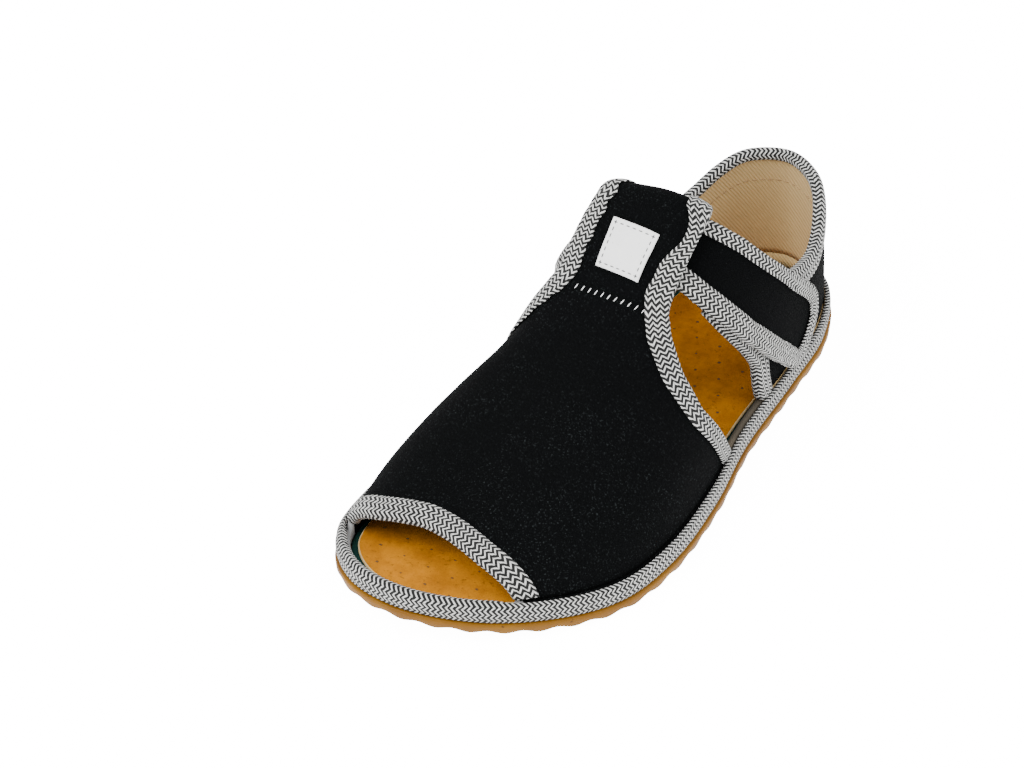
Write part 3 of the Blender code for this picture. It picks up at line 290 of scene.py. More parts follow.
# %% Worked-out sizes
FEATHER_INSET = BAND_INSET + BAND_T + CLEAR          # the upper's outer face where it meets the sole
PROUD = CLEAR + TAPE_T                               # how far tape stands off the wall it covers
STRAP_LIFT = max(PROUD, CLEAR + PAD_T) + CLEAR + PROUD  # last to the strap's inner face
LOOP_LIFT = STRAP_LIFT + STRAP_T + PROUD + LOOP_ROOM + PROUD + WALL
FOLD_R = (LOOP_LIFT * RISE[-1][1] + WALL) / 2.0     # radius of the fold's middle at the T-bar's top
HEEL_CENTRE_Y = LENGTH / 2.0 - HEEL_RADIUS
MARGIN_H = BAND_H - CLEAR                            # height of the upper's margin behind the band
RIM_MARGIN_H = BAND_H - RIM_FOLD - CLEAR             # and of its lower stretch, inside the toe rim
print("strap lifts", STRAP_LIFT, "loop lifts", round(LOOP_LIFT, 2))

# %% [markdown]
# Curves through the tables
# Each table is read through a smooth curve that never swings past its rows. The outline of the sole is a
# closed curve, and everything above it hangs on that outline drawn in by the width of the band.

# %% Smooth curves
def column(table, number):
    return np.array([row[number] for row in table], float)


def eased(x, xs, ys):
    """A smooth curve through a table's rows that never overshoots them."""
    xs = np.asarray(xs, float)
    ys = np.asarray(ys, float)
    if xs[0] > xs[-1]:
        xs = xs[::-1]
        ys = ys[::-1]
    step = np.diff(xs)
    slope = np.diff(ys) / step
    lean = np.zeros(len(xs))
    same_way = slope[:-1] * slope[1:] > 0
    total = np.where(same_way, slope[:-1] + slope[1:], 1.0)
    lean[1:-1] = np.where(same_way, 2.0 * slope[:-1] * slope[1:] / total, 0.0)
    lean[0] = slope[0]
    lean[-1] = slope[-1]
    x = np.clip(np.asarray(x, float), xs[0], xs[-1])
    i = np.clip(np.searchsorted(xs, x) - 1, 0, len(xs) - 2)
    t = (x - xs[i]) / step[i]
    start = (1 + 2 * t) * (1 - t) ** 2 * ys[i] + t * (1 - t) ** 2 * step[i] * lean[i]
    end = t * t * (3 - 2 * t) * ys[i + 1] + t * t * (t - 1) * step[i] * lean[i + 1]
    return start + end


def run_along(points):
    """Length from the first point of a line to each of its points."""
    return np.concatenate([[0.0], np.cumsum(np.linalg.norm(np.diff(points, axis=0), axis=1))])


def y_at(station):
    return (0.5 - np.asarray(station, float)) * LENGTH


def smooth_loop(points, count):
    """A closed curve through the points, with count points spaced evenly along it."""
    points = np.asarray(points, float)
    fine = []
    for i in range(len(points)):
        before, start, end, after = (points[(i + k - 1) % len(points)] for k in range(4))
        chord = [math.sqrt(np.linalg.norm(b - a)) for a, b in ((before, start), (start, end), (end, after))]
        knots = np.cumsum([0.0] + chord)
        for t in np.linspace(knots[1], knots[2], 40, endpoint=False):
            level = [before, start, end, after]
            for reach in (1, 2, 3):
                joined = []
                for k in range(len(level) - 1):
                    low = knots[k]
                    high = knots[k + reach]
                    if reach == 3:
                        low, high = knots[1], knots[2]
                    joined.append((level[k] * (high - t) + level[k + 1] * (t - low)) / (high - low))
                level = joined
            fine.append(level[0])
    return even_loop(np.array(fine), count)


def even_loop(points, count):
    closed = np.vstack([points, points[:1]])
    run = run_along(closed)
    wanted = np.linspace(0.0, run[-1], count, endpoint=False)
    return np.stack([np.interp(wanted, run, closed[:, k]) for k in range(2)], axis=1)


def inset_loop(loop, distance):
    along = np.roll(loop, -1, 0) - np.roll(loop, 1, 0)
    along = along / np.linalg.norm(along, axis=1)[:, None]
    inward = np.stack([-along[:, 1], along[:, 0]], axis=1)
    if np.sum((loop.mean(0) - loop) * inward) < 0:
        inward = -inward
    return loop + inward * distance


def plan_points():
    return [(across * BALL_WIDTH, y_at(station)) for station, across in OUTLINE]


print("heel at", y_at(0.0), "mm, toe at", y_at(1.0), "mm")

# %% [markdown]
# The sole's outline and the feather line
# A shoemaker calls the line where upper and sole meet the feather line. Here it is the sole's outline drawn
# in by the band, and places at the heel and sides are counted in millimetres along it.

# %% Outline of the sole
LOOP_COUNT = 720
SOLE_LOOP = smooth_loop(plan_points(), LOOP_COUNT)
FEATHER = inset_loop(SOLE_LOOP, FEATHER_INSET)
FEATHER_RUN = run_along(FEATHER)
PERIMETER = FEATHER_RUN[-1] + np.linalg.norm(FEATHER[0] - FEATHER[-1])
TOE_INDEX = int(np.argmin(FEATHER[:, 1]))
TOE_RUN = FEATHER_RUN[TOE_INDEX]

ORIGIN = (SOLE_LOOP.max(0) + SOLE_LOOP.min(0)) / 2.0
print("outline", np.ptp(SOLE_LOOP, axis=0).round(1))

# %% Places along the outline
def spring(y):
    """How high the sole's underside is off the floor."""
    start = y_at(SPRING_STATION)
    share = np.clip((start - np.asarray(y, float)) / (start + LENGTH / 2.0), 0.0, None)
    return TOE_SPRING * share ** 2


def feather_point(run):
    """Place on the feather line: 0 at the heel, positive along the lateral side."""
    run = run % PERIMETER
    xs = np.append(FEATHER[:, 0], FEATHER[0, 0])
    ys = np.append(FEATHER[:, 1], FEATHER[0, 1])
    lengths = np.append(FEATHER_RUN, PERIMETER)
    return np.interp(run, lengths, xs), np.interp(run, lengths, ys)


def run_at(y, side):
    """The feather line's length from the heel to a given y, signed by the side."""
    if side > 0:
        ys = FEATHER[:TOE_INDEX + 1, 1]
        return float(np.interp(-y, -ys, FEATHER_RUN[:TOE_INDEX + 1]))
    ys = np.append(FEATHER[TOE_INDEX:, 1], FEATHER[0, 1])
    lengths = np.append(FEATHER_RUN[TOE_INDEX:], PERIMETER)
    return float(np.interp(y, ys, lengths)) - PERIMETER


def station_of(y):
    return 0.5 - y / LENGTH


print("perimeter", round(float(PERIMETER), 1), "mm, toe lifted by", round(float(spring(y_at(1.0))), 1), "mm")

# %% [markdown]
# The last
# A last is the wooden foot that a shoe is pulled over. Here it is a row of sections, each a rounded arch with
# its own height and fullness. A place on it is given by y and by the arc from its ridge, as a tape measure
# laid over the instep would read. The heel and sides are reached by the outline's length and a height.

# %% Sections of the last
@lru_cache(maxsize=None)
def last_row(y):
    """Ridge height and place, foot of the section, and fullness on both sides."""
    station = station_of(y)
    stations = column(LAST, 0)
    height = float(eased(station, stations, column(LAST, 1))) * INSTEP_HEIGHT
    ridge = float(eased(station, stations, column(LAST, 2))) * BALL_WIDTH
    lateral = float(eased(station, stations, column(LAST, 3)))
    medial = float(eased(station, stations, column(LAST, 4)))
    return height, ridge, SOLE_T + float(spring(y)), lateral, medial


@lru_cache(maxsize=None)
def section(y):
    """Arc, x and z along the last's section at y, from the medial to the lateral feather line."""
    height, ridge, foot, lateral, medial = last_row(y)
    angle = np.radians(90.0 * np.sin(np.linspace(0.0, math.pi / 2.0, 90)))
    halves = []
    for side, full in ((1, lateral), (-1, medial)):
        reach = feather_point(run_at(y, side))[0] - ridge
        x = ridge + reach * np.abs(np.cos(angle)) ** full
        z = foot + (height - foot) * np.sin(angle) ** full
        halves.append((x[::-1], z[::-1]))
    x = np.concatenate([halves[1][0][::-1], halves[0][0][1:]])
    z = np.concatenate([halves[1][1][::-1], halves[0][1][1:]])
    run = np.concatenate([[0.0], np.cumsum(np.hypot(np.diff(x), np.diff(z)))])
    middle = len(halves[1][0]) - 1
    return run - run[middle], x, z


def last_point(y, arc):
    """A point on the last, by y and the arc from the ridge."""
    arcs, x, z = section(round(float(y), 4))
    return np.array([np.interp(arc, arcs, x), y, np.interp(arc, arcs, z)])


def arc_at_height(y, rise, side):
    """The arc at which the section stands a given rise above its foot."""
    arcs, _, z = section(round(float(y), 4))
    half = arcs >= 0 if side > 0 else arcs <= 0
    order = np.argsort(z[half])
    return float(np.interp(z[half][order][0] + rise, z[half][order], arcs[half][order]))


def wall_point(run, z):
    """A point on the last's side or heel, by the feather line's length and the height."""
    x, y = feather_point(run)
    x = float(x)
    y = float(y)
    row_y = min(y, HEEL_CENTRE_Y)
    height, ridge, foot, lateral, medial = last_row(round(row_y, 4))
    half_turn = (run % PERIMETER) < TOE_RUN
    full = lateral if half_turn else medial
    if y > HEEL_CENTRE_Y:
        share = (x - ridge) / max(math.hypot(x - ridge, y - row_y), 1e-6)
        full = medial + (lateral - medial) * (0.5 + 0.5 * share)
    rise = np.clip((z - foot) / (height - foot), 0.0, 1.0)
    shrink = math.cos(math.asin(min(1.0, rise ** (1.0 / full)))) ** full
    return np.array([ridge + (x - ridge) * shrink, row_y + (y - row_y) * shrink, z])


print("ridge heights", [round(last_row(float(y_at(station)))[0], 1) for station in (0.9, 0.5, 0.1)])

# %% [markdown]
# Steps along a surface
# Cloth has a thickness and an edge. The thickness is laid off along the surface's normal, and a tape's width
# along the surface itself, so both need the slope of the surface at a place.

# %% Normals and steps along a surface
def normal_of(surface, a, b, outward, step=0.05):
    """Outward unit normal and the two derivatives of a surface."""
    along_a = (surface(a + step, b) - surface(a - step, b)) / (2 * step)
    along_b = (surface(a, b + step) - surface(a, b - step)) / (2 * step)
    normal = np.cross(along_a, along_b) * outward
    return normal / np.linalg.norm(normal), along_a, along_b


def raised(surface, outward, lift):
    """A surface parallel to another one."""
    def face(a, b):
        return surface(a, b) + normal_of(surface, a, b, outward)[0] * lift
    return face


def moved(surface, a, b, direction, distance):
    """Parameters of the surface point at a distance along a direction that lies in the surface."""
    for _ in range(3):
        _, along_a, along_b = normal_of(surface, a, b, 1)
        basis = np.stack([along_a, along_b], axis=1)
        change, *_ = np.linalg.lstsq(basis, direction * distance / 3.0, rcond=None)
        a += change[0]
        b += change[1]
    return a, b


LAST_OUT = -1           # sign that turns each surface's normal outwards
WALL_OUT = -1
print("normal at the instep", normal_of(last_point, 0.0, 0.0, LAST_OUT)[0].round(2))

# %% [markdown]
# The cut of the upper
# The vamp runs up into a T-bar that lies over the strap, so the cloth leaves the last there, turns over at
# the top and comes back inside. Its edges, the wings and the collar are drawn on the last from the tables.

# %% The T-bar over the last
def fold_y(arc):
    return y_at(FOLD_STATION) + FOLD_SLANT * arc


def tbar_lift(y, arc=0.0):
    fade = float(np.clip((RISE_END - abs(arc)) / (RISE_END - RISE_FULL), 0.0, 1.0))
    fade = fade * fade * (3.0 - 2.0 * fade)
    return LOOP_LIFT * fade * float(eased(station_of(y), column(RISE, 0), column(RISE, 1)))


def ridge_slope(y):
    rise = last_row(round(y + 1.0, 4))[0] - last_row(round(y - 1.0, 4))[0]
    return rise / 2.0


def upper_point(u, arc):
    """Outer face of the vamp and T-bar. Past the fold's start, u goes on in millimetres round it."""
    start = fold_y(arc)
    turn = math.pi * FOLD_R
    top = tbar_lift(start)
    middle = (top - WALL) / 2.0
    radius = (top + WALL) / 2.0
    if u <= start:
        y = u
        lift = tbar_lift(u, arc)
    elif u <= start + turn:
        angle = (u - start) / FOLD_R
        y = start + radius * math.sin(angle) / math.hypot(1.0, ridge_slope(start))
        lift = middle + radius * math.cos(angle)
    else:
        y = start - (u - start - turn)
        root = y_at(RETURN_END)
        near_root = np.clip((root + DIVE_START - y) / DIVE_LENGTH, 0.0, 1.0)
        lift = -WALL - RETURN_DIVE * near_root ** 2 * (3 - 2 * near_root)
    return last_point(y, arc) + normal_of(last_point, y, arc, LAST_OUT)[0] * lift


print("fold radius", round(FOLD_R, 2), "mm")
print("lift at the T-bar's foot", round(tbar_lift(y_at(TBAR_STATION)), 2), "mm")


# %% Edges of the vamp and the T-bar
def tbar_arc(y, share):
    """Arc at a share across the T-bar: -1 on its medial edge, 1 on its lateral one."""
    station = station_of(y)
    lateral = float(eased(station, column(TBAR, 0), column(TBAR, 1))) * BALL_WIDTH
    medial = float(eased(station, column(TBAR, 0), column(TBAR, 2))) * BALL_WIDTH
    return medial + (lateral - medial) * (share + 1.0) / 2.0


def toe_corner(side):
    arc = arc_at_height(float(y_at(TOE_CORNER_STATION)), MARGIN_H, side)
    return float(y_at(eased(arc / BALL_WIDTH, column(TOE_EDGE, 0), column(TOE_EDGE, 1))))


def vamp_edge(side):
    return VAMP_EDGE_LATERAL if side > 0 else VAMP_EDGE_MEDIAL


def vamp_edge_places(side, count):
    """Places (y, arc) along the vamp's back edge, from the margin's top to the T-bar's foot."""
    table = vamp_edge(side)
    arcs = column(table, 0) * BALL_WIDTH
    ys = y_at(column(table, 1))
    t = np.linspace(0.0, 1.0, len(arcs))
    fine = np.linspace(0.0, 1.0, 400)
    fine_arc = eased(fine, t, arcs)
    fine_y = eased(fine, t, ys)
    limit = np.array([arc_at_height(y, MARGIN_H, side) for y in fine_y])
    inside = np.abs(fine_arc) <= np.abs(limit)
    first = int(np.argmax(inside))
    fine_arc = fine_arc[first:]
    fine_y = fine_y[first:]
    run = np.concatenate([[0.0], np.cumsum(np.hypot(np.diff(fine_arc), np.diff(fine_y)))])
    wanted = np.linspace(0.0, run[-1], count)
    return [(float(y), float(a)) for y, a in
            zip(np.interp(wanted, run, fine_y), np.interp(wanted, run, fine_arc))]


print("toe corners at", round(toe_corner(1), 1), "and", round(toe_corner(-1), 1), "mm")


# %% Edges of the wings and the collar
def wing_row(share):
    """Low and high edge of a wing, at a share of its rows from the T-bar to the band."""
    rows = np.linspace(0.0, 1.0, len(WING))
    return [float(eased(share, rows, column(WING, k))) for k in range(4)]


def collar_z(y):
    return float(eased(station_of(y), column(COLLAR, 0), column(COLLAR, 1))) * COLLAR_HEIGHT


def wing_low(share, side):
    """Place (run, z) on a wing's lower edge, 0 at its end under the T-bar and 1 at the band."""
    low_station, low_height, _, _ = wing_row(share)
    end = LATERAL_GAP_END if side > 0 else MEDIAL_GAP_END
    station = low_station + (end - WING[-1][0]) * share
    band = SOLE_T + MARGIN_H
    return run_at(float(y_at(station)), side), band + low_height * (INSTEP_HEIGHT - band)


def wing_high(share, side):
    _, _, high_station, high_height = wing_row(share)
    low = COLLAR[0][1] * COLLAR_HEIGHT
    return run_at(float(y_at(high_station)), side), low + high_height * (INSTEP_HEIGHT - low)


print("collar", round(collar_z(float(y_at(0.0))), 1), "mm high at the heel")

# %% [markdown]
# From numbers to meshes
# Every piece is a sheet with a thickness or a ring of sections, so two small helpers make them all. The mesh
# is moved to the middle of the sole's box, as the frame is, and its faces are turned outwards.

# %% Mesh helpers
def to_metres(point):
    """From a maker's millimetres to the frame's metres, with the middle of the sole's box at the origin."""
    return (point[0] - ORIGIN[0]) * MM, (point[1] - ORIGIN[1]) * MM, point[2] * MM


def new_object(name, data):
    made = bpy.data.objects.new(name, data)
    bpy.context.scene.collection.objects.link(made)
    return made


def piece(name, points, faces, materials, face_slots=None, uvs=None):
    mesh = bpy.data.meshes.new(name)
    mesh.from_pydata([to_metres(point) for point in points], [], faces)
    for material in materials:
        mesh.materials.append(material)
    if face_slots is not None:
        mesh.polygons.foreach_set("material_index", face_slots)
    if uvs is not None:
        layer = mesh.uv_layers.new(name="tape")
        corners = np.zeros(len(mesh.loops), dtype=np.int32)
        mesh.loops.foreach_get("vertex_index", corners)
        layer.data.foreach_set("uv", np.array(uvs, dtype=np.float32)[corners].ravel())
    solid = bmesh.new()
    solid.from_mesh(mesh)
    bmesh.ops.recalc_face_normals(solid, faces=solid.faces)
    solid.to_mesh(mesh)
    solid.free()
    mesh.shade_smooth()
    made = new_object(name, mesh)
    print(name, len(mesh.polygons), "faces")
    return made


def grid_faces(rows, columns, start=0, wrap=False, close=False):
    faces = []
    across = columns if wrap else columns - 1
    for i in range(rows if close else rows - 1):
        after = (i + 1) % rows
        for j in range(across):
            k = (j + 1) % columns
            faces.append((start + i * columns + j, start + i * columns + k,
                          start + after * columns + k, start + after * columns + j))
    return faces


def sheet(grid, lifts, thickness):
    """A closed wall from a grid of outer points and the normals there: points, faces and slots."""
    rows = len(grid)
    columns = len(grid[0])
    outer = np.array(grid, float).reshape(-1, 3)
    inner = outer - np.array(lifts, float).reshape(-1, 3) * thickness
    count = rows * columns
    faces = grid_faces(rows, columns)
    under = [tuple(k + count for k in reversed(face)) for face in faces]
    rim = list(range(columns)) + [i * columns + columns - 1 for i in range(1, rows)]
    rim += [count - 1 - i for i in range(1, columns)] + [i * columns for i in range(rows - 2, 0, -1)]
    sides = [(b, a, a + count, b + count) for a, b in zip(rim, rim[1:] + rim[:1])]
    slots = [0] * len(faces) + [1] * len(under) + [0] * len(sides)
    return list(outer) + list(inner), faces + under + sides, slots


def lay(surface, outward, places):
    """Points and normals of a surface at rows of places."""
    grid = [[surface(*place) for place in row] for row in places]
    lifts = [[normal_of(surface, *place, outward)[0] for place in row] for row in places]
    return grid, lifts


print("a grid of 3 by 4 points has", len(grid_faces(3, 4)), "faces")

# %% [markdown]
# Camera, floor and light
# The picture was taken from above the outer side of the toe. The camera's place was worked out from the
# sole's outline, and it only turns: the lens isn't shifted. The floor is a white table and the light is soft
# and even, as in a light tent.

# %% Camera
CAMERA_ELEVATION = math.radians(37.71)
CAMERA_AZIMUTH = math.radians(33.60)
CAMERA_DISTANCE = 694.1
CAMERA_TARGET_Z = 25.0
FOCAL_PIXELS = 2597.0
SIDE_PIXELS = 108.5     # how far the slipper stands right of and above the middle of the picture
RISE_PIXELS = 15.2
SENSOR_WIDTH = 36.0
IMAGE_WIDTH = 1024.0

sideways = Vector((math.cos(CAMERA_AZIMUTH), math.sin(CAMERA_AZIMUTH), 0.0))
backwards = Vector((math.sin(CAMERA_AZIMUTH) * math.cos(CAMERA_ELEVATION),
                    -math.cos(CAMERA_AZIMUTH) * math.cos(CAMERA_ELEVATION),
                    math.sin(CAMERA_ELEVATION)))
upwards = backwards.cross(sideways)
eye = backwards * CAMERA_DISTANCE + Vector((-ORIGIN[0], -ORIGIN[1], CAMERA_TARGET_Z))
side_turn = -SIDE_PIXELS / FOCAL_PIXELS
rise_turn = -RISE_PIXELS / FOCAL_PIXELS
gaze = (sideways * side_turn + upwards * rise_turn - backwards).normalized()
right_hand = gaze.cross(upwards).normalized()
turn = Matrix((right_hand, right_hand.cross(gaze), -gaze)).transposed()
lens = bpy.data.cameras.new("camera")
lens.sensor_width = SENSOR_WIDTH
lens.lens = FOCAL_PIXELS * SENSOR_WIDTH / IMAGE_WIDTH
lens.clip_start = 0.01
camera = new_object("camera", lens)
camera.matrix_world = Matrix.Translation(eye * MM) @ turn.to_4x4()
bpy.context.scene.camera = camera
print("lens", round(lens.lens, 1), "mm, eye", [round(v, 3) for v in camera.location])

# %% Floor
FLOOR_SIZE = 6.0
GLOW_SEEN = 14.0        # how bright the white table looks, and how much of it lights the slipper
GLOW_SHARE = 0.10
floor_mesh = bpy.data.meshes.new("floor")
edge = FLOOR_SIZE / 2.0
floor_corners = [(-edge, -edge, 0), (edge, -edge, 0), (edge, edge, 0), (-edge, edge, 0)]
floor_mesh.from_pydata(floor_corners, [], [(0, 1, 2, 3)])
floor = new_object("floor", floor_mesh)
floor_paint = bpy.data.materials.new("floor_white")
floor_paint.use_nodes = True
floor_shader = floor_paint.node_tree.nodes["Principled BSDF"]
floor_shader.inputs["Base Color"].default_value = (0.95, 0.95, 0.95, 1.0)
floor_shader.inputs["Roughness"].default_value = 0.9
floor_tree = floor_paint.node_tree
rays = floor_tree.nodes.new("ShaderNodeLightPath")
glow = floor_tree.nodes.new("ShaderNodeMix")
glow.data_type = "RGBA"
glow.inputs[6].default_value = (GLOW_SHARE, GLOW_SHARE, GLOW_SHARE, 1.0)
glow.inputs[7].default_value = (1.0, 1.0, 1.0, 1.0)
floor_tree.links.new(rays.outputs["Is Camera Ray"], glow.inputs[0])
floor_tree.links.new(glow.outputs[2], floor_shader.inputs["Emission Color"])
floor_shader.inputs["Emission Strength"].default_value = GLOW_SEEN
floor_mesh.materials.append(floor_paint)
print("floor", FLOOR_SIZE, "m wide")

# %% Lights
WORLD_STRENGTH = 1.5
AIM_HEIGHT = 0.03       # height of the point that both lamps look at, in metres
world = bpy.data.worlds.new("studio")
world.use_nodes = True
world.node_tree.nodes["Background"].inputs["Color"].default_value = (1.0, 1.0, 1.0, 1.0)
world.node_tree.nodes["Background"].inputs["Strength"].default_value = WORLD_STRENGTH
bpy.context.scene.world = world


def soft_light(name, place, size, power):
    panel = bpy.data.lights.new(name, "AREA")
    panel.size = size
    panel.energy = power
    lamp = new_object(name, panel)
    lamp.location = place
    aim = Vector((0.0, 0.0, AIM_HEIGHT)) - Vector(place)
    lamp.rotation_euler = aim.to_track_quat("-Z", "Y").to_euler()


soft_light("key", (-0.5, -0.9, 1.3), 1.0, 34.0)
soft_light("fill", (1.0, 0.1, 1.0), 1.2, 12.0)

# %% [markdown]
# Cloth in node groups
# Two effects come back in several finishes. One is the fine unevenness that every cloth has, a speckle of
# lint with a nap to the touch. The other is the herringbone of the woven tape: narrow columns in which white
# threads slant one way and then the other over a black ground. Each is built once, as a group.

# %% Node helpers
def new_group(name, inputs, outputs):
    group = bpy.data.node_groups.new(name, "ShaderNodeTree")
    for label, kind, value in inputs:
        socket = group.interface.new_socket(label, in_out="INPUT", socket_type=kind)
        if value is not None:
            socket.default_value = value
    for label, kind in outputs:
        group.interface.new_socket(label, in_out="OUTPUT", socket_type=kind)
    start = group.nodes.new("NodeGroupInput")
    end = group.nodes.new("NodeGroupOutput")
    return group, start, end


def math_node(tree, operation, *values):
    node = tree.nodes.new("ShaderNodeMath")
    node.operation = operation
    for socket, value in zip(node.inputs, values):
        if isinstance(value, (int, float)):
            socket.default_value = value
        else:
            tree.links.new(value, socket)
    return node.outputs[0]


def noise(tree, vector, scale, detail=2.0, roughness=0.6):
    node = tree.nodes.new("ShaderNodeTexNoise")
    node.inputs["Detail"].default_value = detail
    node.inputs["Roughness"].default_value = roughness
    tree.links.new(vector, node.inputs["Vector"])
    if isinstance(scale, (int, float)):
        node.inputs["Scale"].default_value = scale
    else:
        tree.links.new(scale, node.inputs["Scale"])
    return node.outputs[0]


def ramp(tree, value, low, high, to_low=0.0, to_high=1.0):
    node = tree.nodes.new("ShaderNodeMapRange")
    node.interpolation_type = "SMOOTHSTEP"
    tree.links.new(value, node.inputs["Value"])
    for label, number in (("From Min", low), ("From Max", high), ("To Min", to_low), ("To Max", to_high)):
        if isinstance(number, (int, float)):
            node.inputs[label].default_value = number
        else:
            tree.links.new(number, node.inputs[label])
    return node.outputs["Result"]


def mix_colour(tree, share, first, second):
    node = tree.nodes.new("ShaderNodeMix")
    node.data_type = "RGBA"
    if isinstance(share, (int, float)):
        node.inputs[0].default_value = share
    else:
        tree.links.new(share, node.inputs[0])
    for socket, colour in ((node.inputs[6], first), (node.inputs[7], second)):
        if isinstance(colour, tuple):
            socket.default_value = (*colour, 1.0)
        else:
            tree.links.new(colour, socket)
    return node.outputs[2]


print("node groups so far", len(bpy.data.node_groups))

# %% Group for nap and lint
def make_nap_group():
    group, start, end = new_group(
        "nap_and_lint",
        [("Vector", "NodeSocketVector", None), ("Grain", "NodeSocketFloat", 1800.0),
         ("Lint", "NodeSocketFloat", 0.63)],
        [("Lint", "NodeSocketFloat"), ("Height", "NodeSocketFloat"), ("Cloud", "NodeSocketFloat")])
    vector = start.outputs["Vector"]
    fine = noise(group, vector, start.outputs["Grain"], 3.0, 0.7)
    speck = noise(group, vector, math_node(group, "MULTIPLY", start.outputs["Grain"], 0.55), 2.0, 0.75)
    cloud = noise(group, vector, 38.0, 3.0, 0.6)
    high = math_node(group, "ADD", start.outputs["Lint"], 0.13)
    specks = ramp(group, speck, start.outputs["Lint"], high)
    patches = ramp(group, cloud, 0.38, 0.66, 0.25, 1.0)
    group.links.new(math_node(group, "MULTIPLY", specks, patches), end.inputs["Lint"])
    group.links.new(fine, end.inputs["Height"])
    group.links.new(cloud, end.inputs["Cloud"])
    return group


nap_group = make_nap_group()
print("group", nap_group.name, len(nap_group.nodes), "nodes")


# %% Group for the herringbone
def make_herringbone_group():
    group, start, end = new_group(
        "herringbone",
        [("Vector", "NodeSocketVector", None), ("Column", "NodeSocketFloat", 1.10),
         ("Period", "NodeSocketFloat", 1.40), ("Slant", "NodeSocketFloat", 1.05),
         ("White Share", "NodeSocketFloat", 0.34)],
        [("White", "NodeSocketFloat"), ("Height", "NodeSocketFloat")])
    split = group.nodes.new("ShaderNodeSeparateXYZ")
    group.links.new(start.outputs["Vector"], split.inputs[0])
    along, across = split.outputs[0], split.outputs[1]
    wobble = noise(group, start.outputs["Vector"], 0.9, 1.0)
    shaken = math_node(group, "MULTIPLY_ADD", wobble, 0.35, across)
    zigzag = math_node(group, "PINGPONG", shaken, start.outputs["Column"])
    slanted = math_node(group, "MULTIPLY_ADD", zigzag, start.outputs["Slant"], along)
    jitter = math_node(group, "MULTIPLY_ADD", wobble, 0.5, slanted)
    phase = math_node(group, "FRACT", math_node(group, "DIVIDE", jitter, start.outputs["Period"]))
    hump = math_node(group, "PINGPONG", math_node(group, "MULTIPLY", phase, 2.0), 1.0)
    edge_of_white = math_node(group, "SUBTRACT", 1.0, start.outputs["White Share"])
    soft_low = math_node(group, "SUBTRACT", edge_of_white, 0.13)
    soft_high = math_node(group, "ADD", edge_of_white, 0.13)
    white = ramp(group, hump, soft_low, soft_high)
    near_turn = math_node(group, "PINGPONG", math_node(group, "DIVIDE", zigzag, start.outputs["Column"]), 0.5)
    open_column = ramp(group, near_turn, 0.0, 0.12, 0.55, 1.0)
    group.links.new(math_node(group, "MULTIPLY", white, open_column), end.inputs["White"])
    group.links.new(math_node(group, "MULTIPLY", hump, open_column), end.inputs["Height"])
    return group


herringbone_group = make_herringbone_group()
print("group", herringbone_group.name, len(herringbone_group.nodes), "nodes")


# %% [markdown]
# Finishes
# Each material starts from the plain shader with its own roughness, and gets its colour and its bump from
# the groups. A painted image could do the same, but a pattern made of nodes stays sharp at any size.

# %% Material helper
def new_material(name, roughness, sheen=0.0):
    material = bpy.data.materials.new(name)
    material.use_nodes = True
    tree = material.node_tree
    shader = tree.nodes["Principled BSDF"]
    shader.inputs["Roughness"].default_value = roughness
    shader.inputs["Sheen Weight"].default_value = sheen
    shader.inputs["Sheen Roughness"].default_value = 0.5
    shader.inputs["Specular IOR Level"].default_value = 0.3
    return material, tree, shader


def object_coordinates(tree):
    return tree.nodes.new("ShaderNodeTexCoord").outputs["Object"]


def bump(tree, shader, height, strength, distance):
    node = tree.nodes.new("ShaderNodeBump")
    node.inputs["Strength"].default_value = strength
    node.inputs["Distance"].default_value = distance
    tree.links.new(height, node.inputs["Height"])
    tree.links.new(node.outputs["Normal"], shader.inputs["Normal"])


def use_nap(tree, vector, grain, lint):
    node = tree.nodes.new("ShaderNodeGroup")
    node.node_tree = nap_group
    tree.links.new(vector, node.inputs["Vector"])
    node.inputs["Grain"].default_value = grain
    node.inputs["Lint"].default_value = lint
    return node


print("materials so far", len(bpy.data.materials))


# %% [markdown]
# Felt
# Felt is a mat of fine fibres that throws back hardly any light. It is nearly black here, with grey lint that
# only shows in patches. The strap is pressed harder than the upper, so it gets less lint.

# %% Felt
FELT_SHINE = 0.04
FELT_GRAIN = 3400.0


def felt(name, ground, lint_colour, lint=0.60):
    material, tree, shader = new_material(name, 1.0)
    shader.inputs["Specular IOR Level"].default_value = FELT_SHINE
    nap = use_nap(tree, object_coordinates(tree), FELT_GRAIN, lint)
    lifted = tuple(c * 3.0 for c in ground)
    cloudy = mix_colour(tree, ramp(tree, nap.outputs["Height"], 0.35, 0.7), ground, lifted)
    colour = mix_colour(tree, nap.outputs["Lint"], cloudy, lint_colour)
    tree.links.new(colour, shader.inputs["Base Color"])
    bump(tree, shader, nap.outputs["Height"], 0.5, 0.0004)
    return material


black_felt = felt("black_felt", (0.0008, 0.0009, 0.0010), (0.018, 0.021, 0.022), 0.58)
strap_felt = felt("strap_felt", (0.0007, 0.0008, 0.0009), (0.012, 0.013, 0.014), 0.64)
print("felts", black_felt.name, strap_felt.name)


# %% [markdown]
# Woven tape
# The tape is a narrow cotton ribbon in black and off-white. Its pattern has to follow every curve of an edge,
# so it reads the tape's own map, which counts millimetres along the edge and round the fold.

